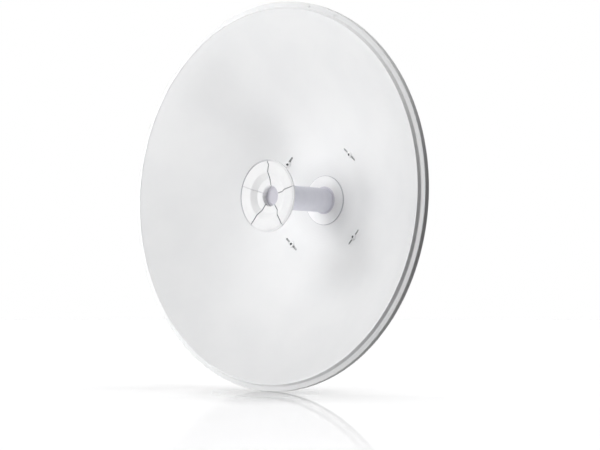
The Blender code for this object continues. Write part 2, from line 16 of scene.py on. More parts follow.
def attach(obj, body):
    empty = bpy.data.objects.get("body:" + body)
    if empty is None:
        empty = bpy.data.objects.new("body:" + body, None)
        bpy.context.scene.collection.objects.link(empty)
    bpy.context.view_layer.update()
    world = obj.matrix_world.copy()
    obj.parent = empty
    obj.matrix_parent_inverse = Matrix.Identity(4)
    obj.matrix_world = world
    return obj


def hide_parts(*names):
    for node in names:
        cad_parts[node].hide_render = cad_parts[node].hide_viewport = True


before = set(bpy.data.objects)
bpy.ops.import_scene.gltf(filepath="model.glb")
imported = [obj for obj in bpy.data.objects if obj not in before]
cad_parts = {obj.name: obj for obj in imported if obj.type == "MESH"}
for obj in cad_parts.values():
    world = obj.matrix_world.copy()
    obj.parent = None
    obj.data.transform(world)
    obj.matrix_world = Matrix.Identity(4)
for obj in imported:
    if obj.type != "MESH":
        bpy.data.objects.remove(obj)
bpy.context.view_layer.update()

LOG = logging.getLogger("dish_antenna")
ROOT = "root"
# Name of the face attribute that says how much painted shade a face gets
PAINTED_SHADE = "painted_shade"

LIP_TO_MOUNT = 0.278
LIP_RADIUS = 0.3118
VERTEX_DEPTH = 0.1505
FOUR_F = LIP_RADIUS ** 2 / VERTEX_DEPTH
SHEET = 0.002
FLOOR_Z = -0.3236
HUB_BOLT_CIRCLE = 0.0998
HUB_BOLT_ANGLES = (48.4, 138.4, 228.4, 318.4)
PLATE_SCREW_OFFSET = 0.049
PLATE_SCREW_HOLE = 0.0034

# In this frame local +Z is the way the dish looks and local z is minus the depth behind the lip
DISH = Matrix.Translation((0.0, -LIP_TO_MOUNT, 0.0)) @ Matrix.Rotation(math.radians(90.0), 4, "X")

# Reaches of cutting tools, in metres, from just past a face to past the whole bracket
OVER = 0.001
DEEP = 0.01
TALL = 0.07
WIDE = 0.08
FAR = 0.2

# Lengths that count as nothing, in metres
ON_AXIS = 1e-7
NO_LENGTH = 1e-7
SAME = 1e-6
MERGE = 2e-6
SHALLOW = 0.0001

# Angles, in degrees
SHARP_ANGLE = 32.0
EASED_ANGLE = 30.0
FLAT_ANGLE = 0.5

EASED_STEPS = 2
ROUND_STEPS = 10

WHITE = (1.0, 1.0, 1.0, 1.0)
BLACK = (0.0, 0.0, 0.0, 1.0)

Point = tuple[float, float]
Span = tuple[float, float]
Triple = tuple[float, float, float]
Colour = Triple


class Slot(Enum):
    """The record's material slots."""

    PAINT = "white_paint"
    MOULDING = "white_moulding"
    TUBE = "tube_grey"
    CORE = "core_grey"
    GALVANISED = "galvanised_steel"
    STAINLESS = "stainless_steel"
    BRASS = "plated_brass"


# Shader graphs

class Value:
    """A number socket of a shader graph, on which Python arithmetic adds Math nodes."""

    def __init__(self, graph: "Graph", socket: bpy.types.NodeSocket) -> None:
        """Wraps a socket.

        Args:
            graph: The graph that the socket belongs to.
            socket: An output socket that carries a number.
        """
        self.graph = graph
        self.socket = socket

    def math(self, operation: str, *others: "Value | float") -> "Value":
        """Adds a Math node.

        Args:
            operation: The node's operation.
            others: The operands after this one.

        Returns:
            The result.
        """
        return self.graph.math(operation, self, *others)

    def __add__(self, other: "Value | float") -> "Value":
        """Sum."""
        return self.math("ADD", other)

    def __sub__(self, other: "Value | float") -> "Value":
        """Difference."""
        return self.math("SUBTRACT", other)

    def __rsub__(self, other: float) -> "Value":
        """Reflected difference."""
        return self.graph.math("SUBTRACT", other, self)

    def __mul__(self, other: "Value | float") -> "Value":
        """Product."""
        return self.math("MULTIPLY", other)

    __radd__ = __add__
    __rmul__ = __mul__

    def step(self, low: float, high: float) -> "Value":
        """Rises smoothly from 0 at low to 1 at high.

        Args:
            low: Where the rise starts.
            high: Where it ends.

        Returns:
            A value from 0 to 1.
        """
        settings = {"interpolation_type": "SMOOTHSTEP"}
        inputs = {"Value": self, "From Min": low, "From Max": high}
        return self.graph.add("ShaderNodeMapRange", settings, inputs).value("Result")


class Node:
    """One node of a shader graph."""

    def __init__(self, graph: "Graph", node: bpy.types.Node) -> None:
        """Wraps a node.

        Args:
            graph: The graph that the node belongs to.
            node: The node.
        """
        self.graph = graph
        self.node = node

    def out(self, name: str | int = 0) -> bpy.types.NodeSocket:
        """Returns an output socket by name or number."""
        return self.node.outputs[name]

    def value(self, name: str | int = 0) -> Value:
        """Returns an output socket wrapped for arithmetic."""
        return Value(self.graph, self.out(name))


Input = Value | bpy.types.NodeSocket | float | Sequence[float]


class Graph:
    """The node tree of one material or world."""

    def __init__(self, tree: bpy.types.NodeTree) -> None:
        """Empties a node tree.

        Args:
            tree: The tree to fill.
        """
        self.tree = tree
        tree.nodes.clear()

    def add(self, kind: str, settings: Mapping[str, object] | None = None,
            inputs: Mapping[str | int, Input] | None = None) -> Node:
        """Adds any node.

        Args:
            kind: The node's type.
            settings: Its settings, which are set first.
            inputs: The values or links of its sockets, by name or number.

        Returns:
            The new node.
        """
        node = self.tree.nodes.new(kind)
        for name, setting in (settings or {}).items():
            setattr(node, name, setting)
        for name, source in (inputs or {}).items():
            if isinstance(source, Value):
                source = source.socket
            if isinstance(source, bpy.types.NodeSocket):
                self.tree.links.new(source, node.inputs[name])
            else:
                node.inputs[name].default_value = source
        return Node(self, node)

    def math(self, operation: str, *operands: Value | float) -> Value:
        """Adds a Math node.

        Args:
            operation: The node's operation.
            operands: One to three values.

        Returns:
            The result.
        """
        settings = {"operation": operation}
        return self.add("ShaderNodeMath", settings, dict(enumerate(operands))).value()

    def mix(self, factor: Value, low: Input, high: Input) -> bpy.types.NodeSocket:
        """Mixes two colours.

        Args:
            factor: 0 gives low and 1 gives high.
            low: A colour or its socket.
            high: A colour or its socket.

        Returns:
            The mixed colour's socket.
        """
        low, high = ((*c, 1.0) if isinstance(c, tuple) else c for c in (low, high))
        return self.add("ShaderNodeMix", {"data_type": "RGBA"}, {0: factor, 6: low, 7: high}).out(2)

    def place(self, scale: Sequence[float] = (1.0, 1.0, 1.0)) -> bpy.types.NodeSocket:
        """Adds the point of the piece, in its own frame.

        Args:
            scale: What its coordinates, in metres, are multiplied by.

        Returns:
            The point's socket.
        """
        spot = self.add("ShaderNodeTexCoord").out("Object")
        settings = {"operation": "MULTIPLY"}
        return self.add("ShaderNodeVectorMath", settings, {0: spot, 1: tuple(scale)}).out()

    def noise(self, spot: bpy.types.NodeSocket, grain: float, detail: float = 2.0) -> Value:
        """Adds a noise whose features are as big as the grain.

        Args:
            spot: Where the noise is read.
            grain: The size of its features, in metres.
            detail: How many finer layers it has.

        Returns:
            A value around 0.5.
        """
        inputs = {"Vector": spot, "Scale": 1.0 / grain, "Detail": detail}
        return self.add("ShaderNodeTexNoise", None, inputs).value()

    def bump(self, height: Value, depth: float) -> bpy.types.NodeSocket:
        """Turns a height from 0 to 1 into a normal.

        Args:
            height: The height.
            depth: What a height of 1 is, in metres.

        Returns:
            The normal's socket.
        """
        inputs = {"Height": height, "Distance": depth, "Strength": 1.0}
        return self.add("ShaderNodeBump", None, inputs).out()

    def shaded(self, colour: Input, painted_shade: Colour) -> bpy.types.NodeSocket:
        """Paints shade into a colour where faces are marked for painted shade.

        Args:
            colour: The open surface's colour.
            painted_shade: The colour of a face that is marked with 1, its painted shade.

        Returns:
            The colour's socket.
        """
        share = self.add("ShaderNodeAttribute", {"attribute_name": PAINTED_SHADE}).value("Fac")
        return self.mix(share, colour, painted_shade)

    def surface(self, shader: Node) -> None:
        """Ends the graph in a material output.

        Args:
            shader: The shader node.
        """
        self.add("ShaderNodeOutputMaterial", None, {"Surface": shader.out()})


def new_material(name: str) -> tuple[bpy.types.Material, Graph]:
    """Makes an empty material.

    Args:
        name: Its name.

    Returns:
        The material and its graph.
    """
    material = bpy.data.materials.new(name)
    material.use_nodes = True
    return material, Graph(material.node_tree)


# Finishes

class Finish:
    """A finish, which says what goes into the main shader."""

    def sockets(self, graph: Graph) -> Mapping[str, Input]:
        """Adds the finish's nodes.

        Args:
            graph: The material's graph.

        Returns:
            The values or links of the shader's sockets, by name.
        """
        raise NotImplementedError

    def material(self, name: str) -> bpy.types.Material:
        """Builds a material.

        Args:
            name: Its name.

        Returns:
            The material.
        """
        material, graph = new_material(name)
        graph.surface(graph.add("ShaderNodeBsdfPrincipled", None, self.sockets(graph)))
        return material


@dataclass(frozen=True)
class PowderCoat(Finish):
    """White powder coat: satin, with a fine orange peel and a barely uneven film."""

    colour: Colour = (0.872, 0.874, 0.878)
    thin_colour: Colour = (0.838, 0.842, 0.850)
    # Colour mixed in where faces are marked for painted shade
    painted_shade_colour: Colour = (0.16, 0.16, 0.17)
    roughness: float = 0.42
    peel_size: float = 0.0016
    peel_depth: float = 0.00003
    peel_gloss: float = 0.16
    film_size: float = 0.07
    film_edges: Span = (0.3, 0.75)
    film_share: float = 0.7
    film_gloss: float = 0.1
    speck_size: float = 0.0008
    speck_share: float = 0.3
    coat: float = 0.12
    coat_roughness: float = 0.25

    def sockets(self, graph: Graph) -> Mapping[str, Input]:
        """Adds the finish's nodes.

        Args:
            graph: The material's graph.

        Returns:
            The values or links of the shader's sockets, by name.
        """
        spot = graph.place()
        film = graph.noise(spot, self.film_size, detail=3.0)
        peel = graph.noise(spot, self.peel_size)
        speck = graph.noise(spot, self.speck_size, detail=1.0)
        thin = film.step(*self.film_edges) * self.film_share + speck * self.speck_share
        coat = graph.mix(thin, self.colour, self.thin_colour)
        return {
            "Base Color": graph.shaded(coat, self.painted_shade_colour),
            "Roughness": self.roughness + (peel - 0.5) * self.peel_gloss + (film - 0.5) * self.film_gloss,
            "Normal": graph.bump(peel, self.peel_depth),
            "Coat Weight": self.coat,
            "Coat Roughness": self.coat_roughness,
        }


@dataclass(frozen=True)
class MouldedPlastic(Finish):
    """Moulded plastic: fine spark-eroded grain with faint flow marks round the axis."""

    colour: Colour = (0.90, 0.90, 0.905)
    flow_colour: Colour = (0.86, 0.86, 0.87)
    # Colour mixed in where faces are marked for painted shade
    painted_shade_colour: Colour = (0.36, 0.36, 0.39)
    roughness: float = 0.36
    grain_size: float = 0.0007
    grain_depth: float = 0.000018
    grain_share: float = 0.2
    grain_gloss: float = 0.2
    flow_size: float = 0.03
    flow_scale: Triple = (1.0, 1.0, 3.0)
    flow_edges: Span = (0.3, 0.7)
    flow_share: float = 0.8
    specular: float = 0.45

    def sockets(self, graph: Graph) -> Mapping[str, Input]:
        """Adds the finish's nodes.

        Args:
            graph: The material's graph.

        Returns:
            The values or links of the shader's sockets, by name.
        """
        spot = graph.place()
        flow = graph.noise(graph.place(self.flow_scale), self.flow_size)
        grain = graph.noise(spot, self.grain_size)
        marks = flow.step(*self.flow_edges) * self.flow_share + grain * self.grain_share
        plastic = graph.mix(marks, self.colour, self.flow_colour)
        return {
            "Base Color": graph.shaded(plastic, self.painted_shade_colour),
            "Roughness": self.roughness + (grain - 0.5) * self.grain_gloss,
            "Normal": graph.bump(grain, self.grain_depth),
            "Specular IOR Level": self.specular,
        }


@dataclass(frozen=True)
class GalvanisedSteel(Finish):
    """Hot-dip galvanised steel: frosted crystals of slightly different greys, with dull patches."""

    bright: Colour = (0.66, 0.67, 0.68)
    dull: Colour = (0.44, 0.455, 0.47)
    crystal: float = 0.007
    roughness: float = 0.38
    # The warp's size and the frost's are counted in crystals
    warp_size: float = 1.5
    warp: float = 0.12
    frost_size: float = 0.25
    frost_scale: Triple = (1.0, 1.0, 2.5)
    frost_share: float = 0.25
    frost_gloss: float = 0.12
    patch_size: float = 0.045
    patch_edges: Span = (0.35, 0.7)
    patch_share: float = 0.3
    crystal_share: float = 0.55
    crystal_gloss: float = 0.16
    metallic: float = 0.85
    crystal_metallic: float = 0.1
    relief: float = 0.00005

    def sockets(self, graph: Graph) -> Mapping[str, Input]:
        """Adds the finish's nodes.

        Args:
            graph: The material's graph.

        Returns:
            The values or links of the shader's sockets, by name.
        """
        spot = graph.place()
        warp = graph.noise(spot, self.crystal * self.warp_size)
        warped = graph.add("ShaderNodeVectorMath", {"operation": "SCALE"},
                           {0: spot, "Scale": 1.0 + (warp - 0.5) * self.warp}).out()
        inputs = {"Vector": warped, "Scale": 1.0 / self.crystal}
        cells = graph.add("ShaderNodeTexVoronoi", {"feature": "F1"}, inputs)
        split = graph.add("ShaderNodeSeparateColor", None, {0: cells.out("Color")})
        shade = split.value(0)
        frost = graph.noise(graph.place(self.frost_scale), self.crystal * self.frost_size, detail=3.0)
        patch = graph.noise(spot, self.patch_size, detail=3.0).step(*self.patch_edges)
        mask = shade * self.crystal_share + frost * self.frost_share + patch * self.patch_share
        return {
            "Base Color": graph.mix(mask, self.bright, self.dull),
            "Metallic": self.metallic + shade * self.crystal_metallic,
            "Roughness": self.roughness + shade * self.crystal_gloss + (frost - 0.5) * self.frost_gloss,
            "Normal": graph.bump(frost * 0.5 + shade * 0.5, self.relief),
        }


@dataclass(frozen=True)
class TurnedMetal(Finish):
    """Bright metal with fine turned or drawn lines round local Z."""

    colour: Colour = (0.60, 0.60, 0.61)
    shade: Colour = (0.46, 0.46, 0.475)
    roughness: float = 0.26
    line: float = 0.0005
    line_scale: Triple = (0.15, 0.15, 1.0)
    line_depth: float = 0.00002
    line_gloss: float = 0.18
    stain_size: float = 0.004
    stain_edges: Span = (0.35, 0.75)
    stain_gloss: float = 0.12

    def sockets(self, graph: Graph) -> Mapping[str, Input]:
        """Adds the finish's nodes.

        Args:
            graph: The material's graph.

        Returns:
            The values or links of the shader's sockets, by name.
        """
        lines = graph.noise(graph.place(self.line_scale), self.line)
        stain = graph.noise(graph.place(), self.stain_size, detail=3.0)
        return {
            "Base Color": graph.mix(stain.step(*self.stain_edges), self.colour, self.shade),
            "Metallic": 1.0,
            "Roughness": self.roughness + (lines - 0.5) * self.line_gloss + (stain - 0.5) * self.stain_gloss,
            "Normal": graph.bump(lines, self.line_depth),
        }


def placed(name: str, data: bpy.types.ID) -> bpy.types.Object:
    """Adds an object to the scene.

    Args:
        name: Its name.
        data: Its mesh, light or camera.

    Returns:
        The object.
    """
    thing = bpy.data.objects.new(name, data)
    bpy.context.scene.collection.objects.link(thing)
    return thing


class Workshop:
    """Holds one material for each slot and adds finished pieces to the scene."""

    def __init__(self) -> None:
        """Builds the materials and starts with no pieces."""
        lilac = MouldedPlastic((0.70, 0.70, 0.765), (0.67, 0.67, 0.74), roughness=0.42)
        grey = MouldedPlastic((0.68, 0.67, 0.73), (0.65, 0.64, 0.70), roughness=0.5)
        self.materials = {
            Slot.PAINT: PowderCoat().material("powder_coat_white"),
            Slot.MOULDING: MouldedPlastic().material("moulded_white"),
            Slot.TUBE: lilac.material("moulded_lilac"),
            Slot.CORE: grey.material("moulded_grey"),
            Slot.GALVANISED: GalvanisedSteel().material("galvanised"),
            Slot.STAINLESS: TurnedMetal().material("stainless"),
            Slot.BRASS: TurnedMetal((0.83, 0.70, 0.42), (0.66, 0.53, 0.29), 0.24).material("plated_brass"),
        }
        self.pieces: list[bpy.types.Object] = []

    def finish(self, name: str, mesh: bpy.types.Mesh, slot: Slot, nodes: Sequence[str],
               place: Matrix = DISH) -> bpy.types.Object:
        """Makes a piece of a mesh, dresses it and puts it in for its CAD nodes.

        Args:
            name: The piece's name.
            mesh: Its mesh, in the piece's own frame.
            slot: The material slot of its finish.
            nodes: The CAD nodes that it replaces.
            place: The piece's frame.

        Returns:
            The piece.
        """
        piece = placed(name, mesh)
        piece.matrix_world = place
        mesh.materials.append(self.materials[slot])
        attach(piece, ROOT)
        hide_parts(*nodes)
        self.pieces.append(piece)
        LOG.info("%s: %d faces, finish %s", name, len(mesh.polygons), slot.value)
        return piece


# Outlines and meshes

@dataclass(frozen=True)
class Corner:
    """A corner of an outline, with the radius of its rounding."""

    x: float
    y: float
    fillet: float = 0.0


def rounded(corners: Sequence[Corner], closed: bool = True, arc_steps: int = 6) -> list[Point]:
    """Rounds the corners of an outline.

    Args:
        corners: The corners in order.
        closed: False keeps the first and last as ends.
        arc_steps: How many edges a rounded corner has.

    Returns:
        The points of the outline.
    """
    points: list[Point] = []
    count = len(corners)
    for i, corner in enumerate(corners):
        spot = Vector((corner.x, corner.y))
        if corner.fillet == 0.0 or (not closed and i in (0, count - 1)):
            points.append((spot.x, spot.y))
            continue
        before = corners[i - 1]
        after = corners[(i + 1) % count]
        back = (Vector((before.x, before.y)) - spot).normalized()
        ahead = (Vector((after.x, after.y)) - spot).normalized()
        half = back.angle(ahead) / 2.0
        reach = corner.fillet / math.tan(half)
        centre = spot + (back + ahead).normalized() * (corner.fillet / math.sin(half))
        start = (spot + back * reach - centre).normalized()
        end = (spot + ahead * reach - centre).normalized()
        for step in range(arc_steps + 1):
            arm = start.slerp(end, step / arc_steps) * corner.fillet
            points.append((centre.x + arm.x, centre.y + arm.y))
    return points


def behind(corners: Sequence[Corner], thickness: float, fillet: float) -> list[Corner]:
    """Offsets an open line to its right-hand side, which is the back of a sheet that runs outward.

    Args:
        corners: The line of the sheet's front.
        thickness: The thickness of the sheet.
        fillet: The rounding of the corners between the ends.

    Returns:
        The corners of the back, in the same order.
    """
    spots = [Vector((corner.x, corner.y)) for corner in corners]
    ways = [(after - before).normalized() for before, after in zip(spots, spots[1:])]
    sides = [Vector((way.y, -way.x)) for way in ways]
    result = []
    for i, spot in enumerate(spots):
        first = sides[max(i - 1, 0)]
        second = sides[min(i, len(sides) - 1)]
        moved = spot + (first + second) * (thickness / (1.0 + first.dot(second)))
        inner = 0 < i < len(spots) - 1
        result.append(Corner(moved.x, moved.y, fillet if inner else 0.0))
    return result


def shade(mesh: bpy.types.Mesh) -> bpy.types.Mesh:
    """Shades a mesh smooth and keeps its sharp edges.

    Args:
        mesh: The mesh.

    Returns:
        The same mesh.
    """
    mesh.shade_smooth()
    mesh.set_sharp_from_angle(angle=math.radians(SHARP_ANGLE))
    return mesh


def polar(radius: float, turn: float) -> Point:
    """The point at a radius and an angle in radians."""
    return radius * math.cos(turn), radius * math.sin(turn)


def shifted(outline: Sequence[Point], x: float, y: float) -> list[Point]:
    """An outline moved by x and y."""
    return [(x + u, y + v) for u, v in outline]


def four(x: float, y: float) -> list[Point]:
    """The four points at plus and minus x and y."""
    return [(u, v) for u in (-x, x) for v in (-y, y)]


def lathe(profile: Sequence[Point], steps: int,
          relief: Callable[[float, float], float] = lambda radius, turn: 0.0) -> bpy.types.Mesh:
    """Turns a closed outline of (radius, z) points about Z. Points on the axis close to one vertex.

    Args:
        profile: The outline, which goes inward to outward on faces that look to +Z.
        steps: How many sides the turned form has.
        relief: How far a point moves outward, from its radius and its angle in radians.

    Returns:
        The mesh.
    """
    rings: list[list[int]] = []
    points: list[Triple] = []
    for radius, z in profile:
        if radius < ON_AXIS:
            rings.append([len(points)] * steps)
            points.append((0.0, 0.0, z))
            continue
        rings.append(list(range(len(points), len(points) + steps)))
        for i in range(steps):
            turn = math.tau * i / steps
            points.append((*polar(radius + relief(radius, turn), turn), z))
    return skin(points, rings)


def skin(points: Sequence[Sequence[float]], rings: Sequence[Sequence[int]]) -> bpy.types.Mesh:
    """Joins closed rings of vertices, the last one to the first.

    Args:
        points: The vertices.
        rings: Vertex numbers of each ring, all of one length.

    Returns:
        A shaded mesh.
    """
    faces = []
    steps = len(rings[0])
    for k, ring in enumerate(rings):
        after = rings[(k + 1) % len(rings)]
        for i in range(steps):
            j = (i + 1) % steps
            face = []
            for vertex in (ring[i], after[i], after[j], ring[j]):
                if vertex not in face:
                    face.append(vertex)
            if len(face) > 2:
                faces.append(face)
    mesh = bpy.data.meshes.new("skin")
    mesh.from_pydata(points, [], faces)
    return shade(mesh)


def mark(mesh: bpy.types.Mesh, shares: Sequence[float]) -> bpy.types.Mesh:
    """Marks faces for painted shade, which the finishes mix into their colour.

    Args:
        mesh: The mesh.
        shares: A share from 0 to 1 for each face.

    Returns:
        The mesh.
    """
    mesh.attributes.new(PAINTED_SHADE, "FLOAT", "FACE").data.foreach_set("value", shares)
    return mesh


def mark_faces(mesh: bpy.types.Mesh,
               share: Callable[[bpy.types.MeshPolygon], float]) -> bpy.types.Mesh:
    """Marks the faces of a mesh for painted shade by a rule.

    Args:
        mesh: The mesh.
        share: Gives the share of a face.

    Returns:
        The mesh.
    """
    return mark(mesh, [share(face) for face in mesh.polygons])


def off_axis(face: bpy.types.MeshPolygon) -> float:
    """How far the centre of a face is from the local Z axis."""
    return math.hypot(face.center.x, face.center.y)


def from_bmesh(shape: bmesh.types.BMesh) -> bpy.types.Mesh:
    """Makes a mesh of a bmesh and frees it.

    Args:
        shape: The bmesh.

    Returns:
        A shaded mesh.
    """
    mesh = bpy.data.meshes.new("shape")
    shape.to_mesh(mesh)
    shape.free()
    return shade(mesh)


def slab(outline: Sequence[Point], low: float, high: float,
         place: Matrix = Matrix.Identity(4)) -> bpy.types.Mesh:
    """Extrudes an anticlockwise outline along Z.

    Args:
        outline: Its points.
        low: Z of the bottom.
        high: Z of the top.
        place: Where the slab goes.

    Returns:
        The mesh.
    """
    count = len(outline)
    points = [(x, y, low) for x, y in outline] + [(x, y, high) for x, y in outline]
    faces = [list(range(count))[::-1], list(range(count, 2 * count))]
    faces += [[i, (i + 1) % count, count + (i + 1) % count, count + i] for i in range(count)]
    mesh = bpy.data.meshes.new("slab")
    mesh.from_pydata(points, [], faces)
    mesh.transform(place)
    return shade(mesh)


def disc(radius: float, sides: int, start: float = 0.0) -> list[Point]:
    """Points of a regular polygon.

    Args:
        radius: Its corner radius.
        sides: Its number of sides.
        start: The first corner's angle, in degrees.

    Returns:
        The points, anticlockwise.
    """
    return [polar(radius, math.radians(start) + math.tau * i / sides) for i in range(sides)]


def stadium(length: float, width: float) -> list[Point]:
    """Points of a slot with round ends, long along Y.

    Args:
        length: Its whole length.
        width: Its width.

    Returns:
        The points, anticlockwise.
    """
    reach = (length - width) / 2.0
    points = []
    for middle, start in ((reach, 0.0), (-reach, math.pi)):
        end = [polar(width / 2.0, math.pi * i / ROUND_STEPS + start) for i in range(ROUND_STEPS + 1)]
        points += shifted(end, 0.0, middle)
    return points


class Cut(Enum):
    """What a Boolean does with its tool."""

    AWAY = "DIFFERENCE"
    JOIN = "UNION"
    COMMON = "INTERSECT"


def drill(outline: Sequence[Point], reach: float, place: Matrix) -> tuple[Cut, bpy.types.Mesh]:
    """A tool that cuts a hole.

    Args:
        outline: The hole's outline.
        reach: How far it cuts to each side.
        place: The middle of the hole, with +Z along it.

    Returns:
        The tool.
    """
    return Cut.AWAY, slab(outline, -reach, reach, place)


def carve(mesh: bpy.types.Mesh, tools: Sequence[tuple[Cut, bpy.types.Mesh]]) -> bpy.types.Mesh:
    """Runs exact Booleans on a mesh.

    Args:
        mesh: The mesh to start from.
        tools: What to do with each tool mesh, in order.

    Returns:
        The result.
    """
    body = placed("body", mesh)
    helpers = []
    for cut, tool in tools:
        helper = placed("tool", tool)
        helpers.append(helper)
        modifier = body.modifiers.new(cut.name, "BOOLEAN")
        modifier.operation = cut.value
        modifier.solver = "EXACT"
        modifier.object = helper
    result = baked(body)
    for helper in helpers:
        bpy.data.objects.remove(helper, do_unlink=True)
    shape = bmesh.new()
    shape.from_mesh(result)
    bmesh.ops.remove_doubles(shape, verts=shape.verts, dist=MERGE)
    bmesh.ops.dissolve_degenerate(shape, edges=shape.edges, dist=NO_LENGTH)
    shape.to_mesh(result)
    shape.free()
    return shade(result)


def baked(body: bpy.types.Object) -> bpy.types.Mesh:
    """Applies an object's modifiers and removes the object.

    Args:
        body: The object.

    Returns:
        Its final mesh.
    """
    bpy.context.view_layer.update()
    evaluated = body.evaluated_get(bpy.context.evaluated_depsgraph_get())
    result = bpy.data.meshes.new_from_object(evaluated)
    bpy.data.objects.remove(body, do_unlink=True)
    return result


def eased(mesh: bpy.types.Mesh, width: float) -> bpy.types.Mesh:
    """Rounds the sharp edges of a mesh.

    Args:
        mesh: The mesh.
        width: The width of the rounding.

    Returns:
        The rounded mesh.
    """
    shape = bmesh.new()
    shape.from_mesh(mesh)
    bmesh.ops.remove_doubles(shape, verts=shape.verts, dist=SAME)
    bmesh.ops.dissolve_limit(shape, angle_limit=math.radians(FLAT_ANGLE), verts=shape.verts,
                             edges=shape.edges)
    shape.to_mesh(mesh)
    shape.free()
    body = placed("body", mesh)
    bevel = body.modifiers.new("Ease", "BEVEL")
    bevel.width = width
    bevel.segments = EASED_STEPS
    bevel.limit_method = "ANGLE"
    bevel.angle_limit = math.radians(EASED_ANGLE)
    bevel.use_clamp_overlap = True
    bevel.harden_normals = False
    weighted = body.modifiers.new("Normals", "WEIGHTED_NORMAL")
    weighted.keep_sharp = True
    mesh.shade_smooth()
    return baked(body)


# Shape of the dish

def dish_z(radius: float) -> float:
    """Local z of the reflecting face."""
    return radius ** 2 / FOUR_F - VERTEX_DEPTH


def dish_slope(radius: float) -> float:
    """Slope of the reflecting face, in radians."""
    return math.atan(2.0 * radius / FOUR_F)


def dish_normal(spot: Vector) -> Vector:
    """The unit normal of the true paraboloid at a point of the sheet."""
    return Vector((-2.0 * spot.x / FOUR_F, -2.0 * spot.y / FOUR_F, 1.0)).normalized()


def on_dish(radius: float, angle: float) -> Matrix:
    """A frame on the reflecting face: +Z along its normal, +X outward.

    Args:
        radius: Distance from the axis.
        angle: Angle round the axis, in degrees.

    Returns:
        The frame, in the dish's own frame.
    """
    turn = math.radians(angle)
    spot = Vector((*polar(radius, turn), dish_z(radius)))
    slope = Matrix.Rotation(-dish_slope(radius), 4, "Y")
    return Matrix.Translation(spot) @ Matrix.Rotation(turn, 4, "Z") @ slope


